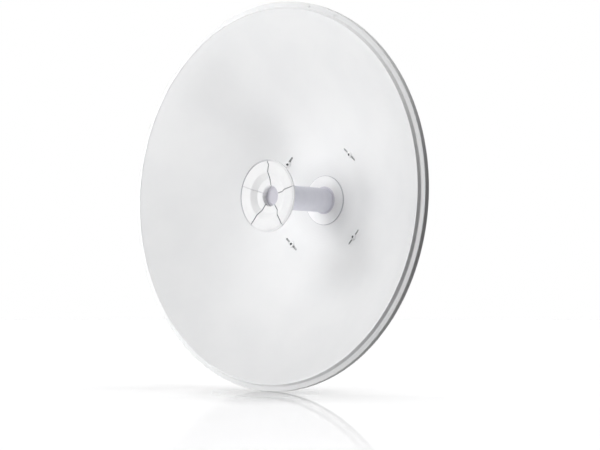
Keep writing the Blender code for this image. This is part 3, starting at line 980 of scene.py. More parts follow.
@dataclass
class Reflector:
    """The pressed dish and its stepped rim."""

    hole_radius: float = 0.0235
    step_radius: float = 0.3152
    step_depth: float = 0.0058
    flat_fall: float = 0.0003
    corner_radius: float = 0.3231
    rim_radius: float = 0.3235
    rear_depth: float = 0.0145
    join_radius: float = 0.3104
    wall: float = 0.0016
    lip_fillet: float = 0.0011
    foot_fillet: float = 0.0020
    corner_fillet: float = 0.0014
    edge_fillet: float = 0.0005
    slot_length: float = 0.032
    slot_width: float = 0.0034
    slot_hole: float = 0.0036
    slot_sides: int = 28
    slot_reach: float = 0.01
    # Painted shade on the slots' sides, and round the foot of the feed, fading out over foot_reach
    slot_painted_shade: float = 0.35
    side_facing: float = 0.5
    face_facing: float = 0.9
    foot_radius: float = 0.043
    foot_reach: float = 0.040
    foot_painted_shade: float = 0.12
    rings: int = 60
    steps: int = 256
    rivet_angles: tuple[float, float] = (74.0, 63.5)
    rivet_circle: float = 0.3184
    rivet_radius: float = 0.0021
    rivet_height: float = 0.0011
    rivet_seat: float = 0.00005
    rivet_steps: int = 24
    # Shares of the rivet's radius and height, with the rounding there
    rivet_head: tuple[Corner, ...] = (Corner(0.0, 0.45), Corner(0.35, 0.55, 0.0002), Corner(0.5, 1.0, 0.0003),
                                      Corner(0.85, 0.8, 0.0005))

    def build(self, shop: Workshop) -> None:
        """Makes the bowl, the rim and the two rivets.

        Args:
            shop: Where the pieces go.
        """
        shop.finish("reflector_bowl", self.bowl(), Slot.PAINT, ["reflector"])
        shop.finish("reflector_rim", self.rim(), Slot.PAINT, ["reflector"])
        for side, angle in zip(("left", "right"), self.rivet_angles):
            shop.finish("rivet_" + side, self.rivet(), Slot.PAINT, ["rim_rivet_" + side],
                        DISH @ self.rivet_frame(angle))

    def bowl(self) -> bpy.types.Mesh:
        """The paraboloid sheet with its slots, out to the crest of the lip.

        Returns:
            The mesh.
        """
        front = []
        back = []
        for i in range(self.rings + 1):
            radius = self.hole_radius + (self.join_radius - self.hole_radius) * i / self.rings
            front.append((radius, dish_z(radius)))
            back.append(self.back_point(radius))
        slot = stadium(self.slot_length, self.slot_width)
        hole = disc(self.slot_hole, self.slot_sides)
        tools = [drill(outline, self.slot_reach, on_dish(HUB_BOLT_CIRCLE, angle))
                 for angle in HUB_BOLT_ANGLES for outline in (slot, hole)]
        mesh = carve(lathe(front + back[::-1], self.steps), tools)
        self.set_normals(mesh)
        return mark_faces(mesh, self.painted_shade_share)

    def painted_shade_share(self, face: bpy.types.MeshPolygon) -> float:
        """How much painted shade a face gets: the sides of the slots, and a little round the foot of the
        feed.

        Args:
            face: A face of the bowl.

        Returns:
            A share from 0 to 1.
        """
        near_bolts = abs(off_axis(face) - HUB_BOLT_CIRCLE) < self.slot_reach
        if near_bolts and abs(face.normal.dot(dish_normal(face.center))) < self.side_facing:
            return self.slot_painted_shade
        away = min(max((off_axis(face) - self.foot_radius) / self.foot_reach, 0.0), 1.0)
        return self.foot_painted_shade * (1.0 - away * away * (3.0 - 2.0 * away))

    @staticmethod
    def back_point(radius: float) -> Point:
        """The point of the sheet's back behind a point of its face."""
        slope = dish_slope(radius)
        return radius + SHEET * math.sin(slope), dish_z(radius) - SHEET * math.cos(slope)

    def set_normals(self, mesh: bpy.types.Mesh) -> None:
        """Gives the two faces of the sheet the normals of the true paraboloid.

        Args:
            mesh: The bowl.
        """
        mesh.shade_smooth()
        normals = []
        for polygon in mesh.polygons:
            for index in polygon.vertices:
                true = dish_normal(mesh.vertices[index].co)
                facing = polygon.normal.dot(true)
                if abs(facing) > self.face_facing:
                    normals.append(true if facing > 0.0 else -true)
                else:
                    normals.append(polygon.normal.copy())
        mesh.normals_split_custom_set(normals)

    def rim(self) -> bpy.types.Mesh:
        """The lip's crest, the step, the flat of the rim and the wall that turns back.

        Returns:
            The mesh.
        """
        front = [
            Corner(self.join_radius, dish_z(self.join_radius)),
            Corner(LIP_RADIUS, 0.0, self.lip_fillet),
            Corner(self.step_radius, self.flat_fall - self.step_depth, self.foot_fillet),
            Corner(self.corner_radius, -self.flat_fall - self.step_depth, self.corner_fillet),
            Corner(self.rim_radius, -self.rear_depth),
        ]
        back = behind(front, self.wall, self.edge_fillet)
        back[0] = Corner(*self.back_point(self.join_radius))
        front[-1] = Corner(front[-1].x, front[-1].y, self.edge_fillet)
        back[-1] = Corner(back[-1].x, back[-1].y, self.edge_fillet)
        return lathe(rounded(front + back[::-1]), self.steps)

    def rivet_frame(self, angle: float) -> Matrix:
        """The frame of a rivet's foot on the flat of the rim."""
        x, y = polar(self.rivet_circle, math.radians(angle))
        return Matrix.Translation((x, y, -self.step_depth))

    def rivet(self) -> bpy.types.Mesh:
        """A low domed head with a dimple in the middle.

        Returns:
            The mesh.
        """
        corners = [Corner(self.rivet_radius * share.x, self.rivet_height * share.y, share.fillet)
                   for share in self.rivet_head]
        corners += [Corner(self.rivet_radius, self.rivet_seat), Corner(0.0, self.rivet_seat)]
        return lathe(rounded(corners), self.rivet_steps)


# (Share of half the seam's width, share of its depth) across a seam
SEAM_SECTION = ((-1.0, 0.0), (-0.62, 1.0), (0.0, 1.0), (0.62, 1.0), (1.0, 0.0))


def petal_columns(radius: float, seams: Sequence[Point], width: float, between: int) -> list[Point]:
    """Columns of a turned face that is parted by radial seams.

    Args:
        radius: The radius where the columns are.
        seams: (angle in radians, strength from 0 to 1) of each seam, rising.
        width: The seams' width, in metres.
        between: Columns between two seams.

    Returns:
        (angle in radians, depth share from 0 to 1) of each column.
    """
    columns = []
    half = width / 2.0 / radius
    for i, (middle, strength) in enumerate(seams):
        after = seams[i + 1][0] if i + 1 < len(seams) else seams[0][0] + math.tau
        for offset, depth in SEAM_SECTION:
            columns.append((middle + offset * half, depth * strength))
        span = after - middle - 2.0 * half
        columns += [(middle + half + span * k / between, 0.0) for k in range(1, between)]
    return columns


@dataclass(frozen=True)
class CapRing:
    """A ring of the cap's section, with the shares of the seams, flutes and painted shade there."""

    radius: float
    z: float
    seam: float = 0.0
    flute: float = 0.0
    painted_shade: float = 0.0


@dataclass
class Feed:
    """The feed in front of the dish: flange, collar, tube, cone, cap and core."""

    gap: float = 0.0002
    tube_gap: float = 0.0003
    edge_fillet: float = 0.0003
    flange_radius: float = 0.0430
    flange_depth: float = 0.1455
    flange_edge: float = 0.0010
    # Share of painted shade on the flange's rounded edge and wall
    flange_edge_painted_shade: float = 0.75
    flange_rings: tuple[float, ...] = (0.0285, 0.0315, 0.0345, 0.0375)
    ring_half: float = 0.0006
    ring_height: float = 0.00045
    ring_fillet: float = 0.0002
    neck_radius: float = 0.0222
    neck_depth: float = 0.1524
    tube_radius: float = 0.0209
    tube_wall: float = 0.002
    tube_fillet: float = 0.0004
    collar_radius: float = 0.0240
    collar_height: float = 0.0014
    collar_crown: float = 0.0016
    collar_foot: float = 0.0006
    cone_depth: float = 0.0415
    cone_radius: float = 0.0224
    cone_fillet: float = 0.0006
    cone_step: Corner = Corner(0.0012, 0.0016, 0.0008)
    cone_sweep: Corner = Corner(0.0005, 0.0042, 0.004)
    cone_neck: float = 0.002
    cap_front: float = -0.001
    cap_radius: float = 0.0605
    face_radius: float = 0.0572
    face_fillet: float = 0.0015
    lip_radius: float = 0.0577
    lip_depth: float = 0.0008
    lip_seam_share: float = 0.3
    # Painted shade on the lip: most at this angle, in degrees, and at least this share
    lip_shade_angle: float = 155.0
    lip_least_shade: float = 0.12
    cap_wall: float = 0.0035
    # Share of painted shade on the cap's outer wall
    cap_wall_painted_shade: float = 0.6
    cap_back: float = 0.0135
    cap_back_radius: float = 0.0475
    bore_radius: float = 0.0170
    bore_depth: float = 0.0088
    bore_fillet: float = 0.0018
    bore_foot: float = 0.0125
    bore_back: float = 0.0012
    # The hub ring, the funnel and the outer ring, as (radius, depth, rounding)
    cap_face: tuple[Corner, ...] = (Corner(0.0287, 0.0085, 0.0012), Corner(0.0390, 0.0018, 0.005),
                                    Corner(0.0500, 0.0010, 0.010), Corner(0.0530, 0.0004, 0.010))
    core_front: float = 0.0175
    core_back: float = 0.0245
    core_gap: float = 0.0004
    core_fillet: float = 0.0004
    # The steps of the core, as (radius, depth behind its rim, rounding)
    core_face: tuple[Corner, ...] = (Corner(0.0, 0.0012), Corner(0.0060, 0.0012, 0.0003),
                                     Corner(0.0062, 0.0016, 0.0003), Corner(0.0118, 0.0014, 0.0003),
                                     Corner(0.0120, 0.0018, 0.0003), Corner(0.0130, 0.0018, 0.004))
    seams: tuple[float, ...] = (13.0, 89.0, 161.0, 233.0, 305.0)
    seam_strengths: tuple[float, ...] = (0.8, 1.0, 0.3, 1.0, 1.0)
    seam_width: float = 0.0018
    seam_depth: float = 0.0022
    # How strongly the seams are marked with painted shade
    seam_painted_shade_gain: float = 2.0
    jogged_seam: float = 89.0
    # How far the jogged seam runs to the side, as (radius, shift) points
    jog: tuple[Point, ...] = ((0.0165, 0.0018), (0.0290, -0.0004), (0.0374, 0.0008), (0.0460, -0.0006),
                              (0.0512, 0.0036), (0.0550, 0.0018), (0.0610, -0.0012))
    flute_count: int = 16
    flute_depth: float = 0.0005
    # Share of painted shade in the bore's flutes
    flute_painted_shade: float = 0.15
    flute_sharpness: int = 6
    flute_steps: int = 12
    petal_steps: int = 32
    steps: int = 128

    def build(self, shop: Workshop) -> None:
        """Makes the six pieces.

        Args:
            shop: Where the pieces go.
        """
        shop.finish("flange_disc", self.flange(), Slot.MOULDING, ["feed_flange"])
        # The collar's grey, darker than the flange, is its moulding and also stands in for the shade at the
        # tube's foot
        shop.finish("collar_ring", self.collar(), Slot.CORE, ["feed_collar"])
        shop.finish("mast_tube", self.tube(), Slot.TUBE, ["feed_tube"])
        shop.finish("cap_carrier", self.cone(), Slot.MOULDING, ["feed_cone"])
        shop.finish("petal_cap", self.cap(), Slot.MOULDING, ["feed_cap"])
        shop.finish("core_plug", self.core(), Slot.CORE, ["feed_core"])

    def flange(self) -> bpy.types.Mesh:
        """A low disc with fine rings turned into its face.

        Returns:
            The mesh.
        """
        front = -self.flange_depth
        corners = [Corner(0.0, front)]
        for radius in self.flange_rings:
            corners += [
                Corner(radius - self.ring_half, front),
                Corner(radius, front - self.ring_height, self.ring_fillet),
                Corner(radius + self.ring_half, front),
            ]
        corners += [
            Corner(self.flange_radius, front, self.flange_edge),
            Corner(self.flange_radius, dish_z(self.flange_radius) + self.gap),
            Corner(self.neck_radius, dish_z(self.neck_radius) + self.gap),
            Corner(self.neck_radius, -self.neck_depth),
            Corner(0.0, -self.neck_depth),
        ]
        mesh = lathe(rounded(corners), self.steps)
        # The flange's rounded edge and its wall get painted shade
        edge = self.flange_radius - self.flange_edge
        return mark_faces(mesh, lambda face: self.flange_edge_painted_shade if off_axis(face) > edge else 0.0)

    def collar(self) -> bpy.types.Mesh:
        """A low ring at the foot of the tube.

        Returns:
            The mesh.
        """
        low = self.gap - self.flange_depth
        high = low + self.collar_height
        bore = self.tube_radius + self.gap
        return lathe(rounded([
            Corner(bore, low),
            Corner(bore, high, self.ring_fillet),
            Corner(bore + self.collar_crown, high, self.tube_fillet),
            Corner(self.collar_radius, low + self.collar_foot, self.edge_fillet),
            Corner(self.collar_radius, low),
        ]), self.steps)

    def tube(self) -> bpy.types.Mesh:
        """The tube, open at both ends inside the collar and the cone.

        Returns:
            The mesh.
        """
        low = self.tube_gap - self.flange_depth
        high = -self.cone_depth - self.tube_gap
        inner = self.tube_radius - self.tube_wall
        return lathe(rounded([
            Corner(inner, low),
            Corner(inner, high),
            Corner(self.tube_radius, high, self.tube_fillet),
            Corner(self.tube_radius, (low + high) / 2.0),
            Corner(self.tube_radius, low),
        ]), self.steps)

    def flute(self, turn: float) -> float:
        """How deep the bore's flutes are at an angle, as a share from 0 to 1."""
        return (0.5 + 0.5 * math.cos(turn * self.flute_count)) ** self.flute_sharpness

    def bore_relief(self, radius: float, turn: float) -> float:
        """How far the flutes go into the wall of the bore, and 0 on other radii."""
        return self.flute_depth * self.flute(turn) if abs(radius - self.bore_radius) < SAME else 0.0

    def cone(self) -> bpy.types.Mesh:
        """The carrier that widens from the tube to the cap, with the fluted end of the bore.

        Returns:
            The mesh.
        """
        seat = -self.cap_front - self.cap_back - self.tube_gap
        pocket = -self.cap_front - self.core_back - self.tube_gap
        step, sweep = self.cone_step, self.cone_sweep
        mesh = lathe(rounded([
            Corner(0.0, pocket),
            Corner(self.bore_radius, pocket),
            Corner(self.bore_radius, seat),
            Corner(self.cap_back_radius, seat, self.cone_fillet),
            Corner(self.cap_back_radius - step.x, seat - step.y, step.fillet),
            Corner(self.cone_radius + sweep.x, -self.cone_depth + sweep.y, sweep.fillet),
            Corner(self.cone_radius, -self.cone_depth + self.cone_neck),
            Corner(self.cone_radius, -self.cone_depth, self.cone_fillet),
            Corner(0.0, -self.cone_depth),
        ]), self.flute_count * self.flute_steps, self.bore_relief)

        def share(face: bpy.types.MeshPolygon) -> float:
            """Paints shade into the flutes."""
            x, y, z = face.center
            wall = abs(off_axis(face) - self.bore_radius) < self.flute_depth
            inside = wall and pocket + SHALLOW < z < seat - SHALLOW
            return self.flute_painted_shade * self.flute(math.atan2(y, x)) if inside else 0.0

        return mark_faces(mesh, share)

    def cap_rings(self) -> list[CapRing]:
        """The cap's section, from the foot of the bore outward and round the back.

        Returns:
            Its rings.
        """
        top = -self.cap_front
        face = rounded([
            Corner(self.bore_radius, top - self.bore_foot),
            Corner(self.bore_radius, top - self.bore_depth, self.bore_fillet),
            *(Corner(corner.x, top - corner.y, corner.fillet) for corner in self.cap_face),
            Corner(self.face_radius, top, self.face_fillet),
            Corner(self.lip_radius, top - self.lip_depth, self.edge_fillet),
            Corner(self.cap_radius, top - self.lip_depth, self.edge_fillet),
            Corner(self.cap_radius, top - self.cap_wall),
        ], closed=False, arc_steps=5)
        rings = [CapRing(self.bore_radius, top - self.bore_foot, flute=1.0)]
        for radius, z in face[1:-1]:
            if radius > self.face_radius + self.gap:
                rings.append(CapRing(radius, z, seam=self.lip_seam_share, painted_shade=1.0))
            else:
                rings.append(CapRing(radius, z, seam=1.0))
        rings.append(CapRing(self.cap_radius, top - self.cap_wall, painted_shade=self.cap_wall_painted_shade))
        rings.append(CapRing(self.cap_back_radius, top - self.cap_back))
        rings.append(CapRing(self.bore_radius + self.bore_back, top - self.cap_back))
        rings.append(CapRing(self.bore_radius, top - self.cap_back + self.tube_gap, flute=1.0))
        return rings

    def seams_at(self, radius: float) -> list[Point]:
        """Where the seams are at a radius. One has a jog to the right on the outer ring.

        Args:
            radius: The radius.

        Returns:
            (angle in radians, strength from 0 to 1) of each seam.
        """
        turns = []
        for seam, strength in zip(self.seams, self.seam_strengths):
            shift = 0.0
            if seam == self.jogged_seam:
                for (inner, low), (outer, high) in zip(self.jog, self.jog[1:]):
                    if inner <= radius <= outer:
                        shift = low + (high - low) * (radius - inner) / (outer - inner)
            turns.append((math.radians(seam) - shift / radius, strength))
        return turns

    def lip_painted_shade(self, turn: float) -> float:
        """How much painted shade the lip gets at an angle, as a share from 0 to 1: most at its upper left."""
        lit = max(0.0, math.cos(turn - math.radians(self.lip_shade_angle)))
        return self.lip_least_shade + (1.0 - self.lip_least_shade) * lit

    def cap(self) -> bpy.types.Mesh:
        """The round cap: lip, ring, funnel, hub ring and fluted bore, parted by five radial seams.

        Returns:
            The mesh.
        """
        points = []
        rings = []
        shares = []
        for ring in self.cap_rings():
            columns = petal_columns(ring.radius, self.seams_at(ring.radius), self.seam_width,
                                    self.petal_steps)
            rings.append(list(range(len(points), len(points) + len(columns))))
            for i, (turn, depth) in enumerate(columns):
                reach = ring.radius + self.flute_depth * ring.flute * self.flute(turn)
                points.append((*polar(reach, turn), ring.z - self.seam_depth * ring.seam * depth))
                # Painted shade in the seams, and on the lip and the outer wall, most at the lip's upper left
                after = columns[(i + 1) % len(columns)][1]
                in_seam = max(depth, after) * min(ring.seam * self.seam_painted_shade_gain, 1.0)
                shares.append(max(in_seam, ring.painted_shade * self.lip_painted_shade(turn)))
        return mark(skin(points, rings), shares)

    def core(self) -> bpy.types.Mesh:
        """The plug at the bottom of the bore: two low steps and a rim that rises to the wall.

        Returns:
            The mesh.
        """
        top = -self.cap_front
        front = top - self.core_front
        rim = self.bore_radius - self.core_gap
        corners = [Corner(corner.x, front - corner.y, corner.fillet) for corner in self.core_face]
        corners += [
            Corner(rim, front, self.core_fillet),
            Corner(rim, top - self.core_back),
            Corner(0.0, top - self.core_back),
        ]
        return lathe(rounded(corners), self.steps)


def threaded_rod(radius: float, low: float, high: float, pitch: float) -> list[Point]:
    """Outline of a threaded rod: its side as fine V grooves from the top down.

    Args:
        radius: The outer radius.
        low: Z of the plain lower end.
        high: Z of the top.
        pitch: Distance between the grooves.

    Returns:
        (radius, z) points.
    """
    depth = pitch * 0.5
    points = [(0.0, high), (radius - depth, high)]
    count = int((high - low) / pitch)
    for i in range(count):
        z = high - pitch * (i + 0.5)
        points += [(radius, z), (radius - depth, z - pitch / 2.0)]
    points += [(radius - depth, low), (0.0, low)]
    return points


@dataclass(frozen=True)
class Hexagon:
    """A hexagon whose corners are turned down at the top, or at both ends. It may have a washer face."""

    flats: float
    both: bool = False
    washer: float = 0.0
    # How far the corners are turned down, as a share of how far they stand out past the flats
    turn_down: float = 0.5775
    # Radius of the flat end, as a share of half the flats
    face: float = 0.985
    # Radii that clear the corners, as shares of the corner radius
    clear: float = 1.02
    foot: float = 1.01
    fillet: float = 0.0002
    washer_share: float = 0.99
    washer_overlap: float = 0.0002
    washer_fillet: float = 0.0001
    steps: int = 48

    def mesh(self, low: float, high: float) -> bpy.types.Mesh:
        """Makes the hexagon.

        Args:
            low: Z of the bottom.
            high: Z of the top.

        Returns:
            The mesh.
        """
        corner = self.flats / math.sqrt(3.0)
        drop = (corner - self.flats / 2.0) * self.turn_down
        face = self.flats / 2.0 * self.face
        base = low + self.washer
        turned = [
            Corner(0.0, high),
            Corner(face, high, self.fillet),
            Corner(corner * self.clear, high - drop),
            Corner(corner * self.clear, base + (drop if self.both else 0.0)),
            Corner(face if self.both or self.washer else corner * self.foot, base),
            Corner(0.0, base),
        ]
        prism = slab(disc(corner, 6, 90.0), base - OVER, high + OVER)
        body = carve(prism, [(Cut.COMMON, lathe(rounded(turned), self.steps))])
        if self.washer:
            edge, top = face * self.washer_share, base + self.washer_overlap
            ring = rounded([Corner(0.0, top), Corner(edge, top, self.washer_fillet),
                            Corner(edge, low, self.washer_fillet), Corner(0.0, low)])
            body = carve(body, [(Cut.JOIN, lathe(ring, self.steps))])
        return body


@dataclass
class HubPlate:
    """The hat-shaped pressing behind the dish, with the four bolts that hold the dish on it."""

    sheet: float = 0.003
    clearance: float = 0.0005
    hole_radius: float = 0.034
    flat_radius: float = 0.076
    flat_depth: float = 0.160
    flat_bend: float = 0.004
    flat_rear_shift: float = 0.0012
    flat_rear_bend: float = 0.006
    foot_radius: float = 0.087
    foot_bend: float = 0.0035
    foot_rear_shift: float = 0.0014
    foot_rear_bend: float = 0.004
    foot_thickening: float = 1.15
    foot_rings: tuple[float, ...] = (0.098, 0.109)
    radius: float = 0.121
    steps: int = 160
    # Share of painted shade on the faces that lie against the back of the dish
    hidden_painted_shade: float = 0.5
    hidden_facing: float = 0.5
    bolt_slack: float = 0.0004
    bolt_hole_reach: Span = (-0.012, 0.004)
    screw_hole_reach: float = 0.003
    hole_sides: int = 20
    easing: float = 0.0004
    seat: float = 0.0002
    seat_fillet: float = 0.0002
    head_radius: float = 0.0056
    head_height: float = 0.0022
    # Shares of the head's radius and height, with the rounding there
    head_crown: Corner = Corner(0.66, 1.0, 0.0010)
    head_side: Corner = Corner(1.0, 0.32, 0.0006)
    shank_radius: float = 0.003
    shank_taper: float = 0.0005
    key_radius: float = 0.0025
    key_depth: float = 0.0022
    bolt_steps: int = 48
    nut_flats: float = 0.0098
    nut_height: float = 0.005
    nut_gap: float = 0.0001
    nut_slack: float = 0.00025
    nut_sides: int = 32
    tail: float = 0.0015

    def build(self, shop: Workshop) -> None:
        """Makes the plate, the bolts and the nuts.

        Args:
            shop: Where the pieces go.
        """
        shop.finish("hub_pressing", self.plate(), Slot.PAINT, ["hub_plate"])
        for number, angle in enumerate(HUB_BOLT_ANGLES, start=1):
            place = DISH @ on_dish(HUB_BOLT_CIRCLE, angle)
            shop.finish("dish_bolt_%d" % number, self.bolt(), Slot.PAINT, ["hub_bolt_%d" % number], place)
            shop.finish("dish_nut_%d" % number, self.nut(), Slot.STAINLESS, ["hub_nut_%d" % number], place)

    def back_z(self, radius: float) -> float:
        """Local z of a point just behind the sheet of the dish."""
        return dish_z(radius) - (SHEET + self.clearance) / math.cos(dish_slope(radius))

    def plate(self) -> bpy.types.Mesh:
        """The pressing, with rounded bends and its holes.

        Returns:
            The mesh.
        """
        rear_z = -self.flat_depth - self.sheet
        front = [Corner(self.hole_radius, -self.flat_depth),
                 Corner(self.flat_radius, -self.flat_depth, self.flat_bend),
                 Corner(self.foot_radius, self.back_z(self.foot_radius), self.foot_bend)]
        rear = []
        for radius in (*self.foot_rings, self.radius):
            slope = dish_slope(radius)
            front.append(Corner(radius, self.back_z(radius)))
            rear.insert(0, Corner(radius + self.sheet * math.sin(slope),
                                  self.back_z(radius) - self.sheet / math.cos(slope)))
        bend = self.sheet * self.foot_thickening / math.cos(dish_slope(self.foot_radius))
        rear += [
            Corner(self.foot_radius + self.foot_rear_shift, self.back_z(self.foot_radius) - bend,
                   self.foot_rear_bend),
            Corner(self.flat_radius + self.flat_rear_shift, rear_z, self.flat_rear_bend),
            Corner(self.hole_radius, rear_z),
        ]
        hole = disc(self.shank_radius + self.bolt_slack, self.hole_sides)
        tools = [(Cut.AWAY, slab(hole, *self.bolt_hole_reach, on_dish(HUB_BOLT_CIRCLE, angle)))
                 for angle in HUB_BOLT_ANGLES]
        for x, y in four(PLATE_SCREW_OFFSET, PLATE_SCREW_OFFSET):
            place = Matrix.Translation((x, y, -self.flat_depth - self.sheet / 2.0))
            tools.append(drill(disc(PLATE_SCREW_HOLE, self.hole_sides), self.screw_hole_reach, place))
        mesh = eased(carve(lathe(rounded(front + rear), self.steps), tools), self.easing)
        return mark_faces(mesh, self.under_dish)

    def under_dish(self, face: bpy.types.MeshPolygon) -> float:
        """How much painted shade a face gets: those that lie against the back of the dish, seen through the
        slots, get some.
        """
        hidden = off_axis(face) > self.foot_radius and face.normal.z > self.hidden_facing
        return self.hidden_painted_shade if hidden else 0.0

    def bolt(self) -> bpy.types.Mesh:
        """A low round head with a hexagonal socket, and a plain shank with a tapered end.

        Returns:
            The mesh.
        """
        seat = self.seat
        top = seat + self.head_height
        nut_top = -(SHEET + self.clearance + self.sheet)
        end = nut_top - self.nut_height - self.tail
        crown, side = self.head_crown, self.head_side
        head = rounded([
            Corner(0.0, top),
            Corner(self.head_radius * crown.x, top, crown.fillet),
            Corner(self.head_radius, seat + self.head_height * side.y, side.fillet),
            Corner(self.head_radius, seat, self.seat_fillet),
            Corner(self.shank_radius, seat),
            Corner(self.shank_radius, nut_top - self.nut_height),
            Corner(self.shank_radius - self.shank_taper, end),
            Corner(0.0, end),
        ])
        key = slab(disc(self.key_radius, 6), -self.key_depth, top + OVER)
        mesh = carve(lathe(head, self.bolt_steps), [(Cut.AWAY, key)])
        # The faces inside the hex socket get full painted shade
        wall, mouth = self.key_radius - SHALLOW, top - SHALLOW
        return mark_faces(mesh, lambda face: float(off_axis(face) < wall and abs(face.center.z) < mouth))

    def nut(self) -> bpy.types.Mesh:
        """The nut behind the plate.

        Returns:
            The mesh.
        """
        top = -(SHEET + self.clearance + self.sheet + self.nut_gap)
        body = Hexagon(self.nut_flats, both=True).mesh(top - self.nut_height, top)
        bore = disc(self.shank_radius + self.nut_slack, self.nut_sides)
        return carve(body, [drill(bore, DEEP, Matrix.Translation((0.0, 0.0, top)))])


@dataclass
class FeedSocket:
    """The rear end of the feed, with its two coaxial ports."""

    radius: float = 0.0315
    shoulder_radius: float = 0.026
    front_z: float = -0.1539
    shoulder_z: float = -0.183
    rear_z: float = -0.191
    front_fillet: float = 0.0006
    shoulder_fillet: float = 0.0025
    rear_fillet: float = 0.0012
    grooves: tuple[float, ...] = (-0.162, -0.166, -0.170, -0.174)
    groove_half: float = 0.0009
    groove_floor: float = 0.0005
    groove_depth: float = 0.0008
    groove_fillet: float = 0.0002
    # The recessed ring in the rear face, as (radius, depth, rounding)
    rear_ring: tuple[Corner, ...] = (Corner(0.0225, 0.0, 0.0003), Corner(0.0220, 0.0008, 0.0003),
                                     Corner(0.0205, 0.0008, 0.0003), Corner(0.0200, 0.0, 0.0003))
    steps: int = 96
    port_x: float = 0.0115
    nut_flats: float = 0.0107
    nut_height: float = 0.004
    nut_gap: float = 0.0001
    barrel_radius: float = 0.0042
    barrel_height: float = 0.0125
    barrel_root: float = -0.002
    barrel_pitch: float = 0.0011
    barrel_steps: int = 40
    mouth_radius: float = 0.0029
    mouth_depth: float = 0.0035
    mouth_steps: int = 28
    insulator_radius: float = 0.0021
    insulator_height: float = 0.0008
    insulator_root: float = 0.004
    insulator_fillet: float = 0.0003
    pin_radius: float = 0.0007
    pin_depth: float = 0.003
    pin_sides: int = 16

    def build(self, shop: Workshop) -> None:
        """Makes the socket and the ports.

        Args:
            shop: Where the pieces go.
        """
        shop.finish("rear_socket", self.socket(), Slot.MOULDING, ["feed_socket"])
        for side, x in (("left", -self.port_x), ("right", self.port_x)):
            place = DISH @ Matrix.Translation((x, 0.0, self.rear_z))
            shop.finish("radio_port_" + side, self.port(), Slot.BRASS, ["coaxial_port_" + side], place)

    def socket(self) -> bpy.types.Mesh:
        """A turned housing with grip grooves and a recessed rear face.

        Returns:
            The mesh.
        """
        corners = [Corner(0.0, self.front_z), Corner(self.radius, self.front_z, self.front_fillet)]
        groove = ((0.0, self.groove_half), (self.groove_depth, self.groove_floor),
                  (self.groove_depth, -self.groove_floor), (0.0, -self.groove_half))
        for z in self.grooves:
            corners += [Corner(self.radius - depth, z + offset, self.groove_fillet)
                        for depth, offset in groove]
        corners += [
            Corner(self.radius, self.shoulder_z, self.shoulder_fillet),
            Corner(self.shoulder_radius, self.rear_z, self.rear_fillet),
            *(Corner(corner.x, self.rear_z + corner.y, corner.fillet) for corner in self.rear_ring),
            Corner(0.0, self.rear_z),
        ]
        return lathe(rounded(corners, arc_steps=4), self.steps)

    def port(self) -> bpy.types.Mesh:
        """A hexagonal foot and a threaded barrel with its insulator and pin.

        Returns:
            The mesh.
        """
        end = -self.barrel_height
        foot = Hexagon(self.nut_flats, both=True).mesh(-self.nut_height, -self.nut_gap)
        barrel = threaded_rod(self.barrel_radius, end, self.barrel_root, self.barrel_pitch)
        mouth = slab(disc(self.mouth_radius, self.mouth_steps), end - OVER, end + self.mouth_depth)
        insulator = rounded([
            Corner(0.0, end + self.insulator_root),
            Corner(self.insulator_radius, end + self.insulator_root),
            Corner(self.insulator_radius, end + self.insulator_height, self.insulator_fillet),
            Corner(0.0, end + self.insulator_height),
        ])
        pin_hole = slab(disc(self.pin_radius, self.pin_sides), end - OVER, end + self.pin_depth)
        return carve(foot, [
            (Cut.JOIN, lathe(barrel, self.barrel_steps)),
            (Cut.AWAY, mouth),
            (Cut.JOIN, lathe(insulator, self.mouth_steps)),
            (Cut.AWAY, pin_hole),
        ])


# In this frame outlines of (y, z) points are cut through plates that stand across X
ACROSS = Matrix(((0, 0, 1, 0), (1, 0, 0, 0), (0, 1, 0, 0), (0, 0, 0, 1)))


def rear_frame(y: float) -> Matrix:
    """A frame in which outlines of (x, z) points are cut through a plate that stands across Y."""
    turned = Matrix(((1, 0, 0, 0), (0, 0, -1, 0), (0, 1, 0, 0), (0, 0, 0, 1)))
    return Matrix.Translation((0.0, y, 0.0)) @ turned


def arc(about: Point, radius: float, start: float, end: float, steps: int) -> list[Point]:
    """Points on an arc.

    Args:
        about: Its centre.
        radius: Its radius.
        start: The angle where it starts, in degrees.
        end: The angle where it ends, in degrees.
        steps: How many edges it has.

    Returns:
        The points.
    """
    turns = [math.radians(start + (end - start) * i / steps) for i in range(steps + 1)]
    return shifted([polar(radius, turn) for turn in turns], *about)


def arc_slot(centre: Point, arm: float, width: float, middle: float, swing: float) -> list[Point]:
    """Points of a curved slot with round ends, about a pivot.

    Args:
        centre: The pivot.
        arm: Radius of the slot's middle line.
        width: The slot's width.
        middle: The angle of its middle, in degrees.
        swing: Its reach to each side, in degrees.

    Returns:
        The points, anticlockwise.
    """
    side_steps, end_steps = 16, 10
    low, high = middle - swing, middle + swing
    half = width / 2.0
    points = arc(centre, arm + half, low, high, side_steps)
    points += arc(arc(centre, arm, high, high, 1)[0], half, high, high + 180.0, end_steps)[1:-1]
    points += arc(centre, arm - half, high, low, side_steps)
    points += arc(arc(centre, arm, low, low, 1)[0], half, low + 180.0, low + 360.0, end_steps)[1:-1]
    return points


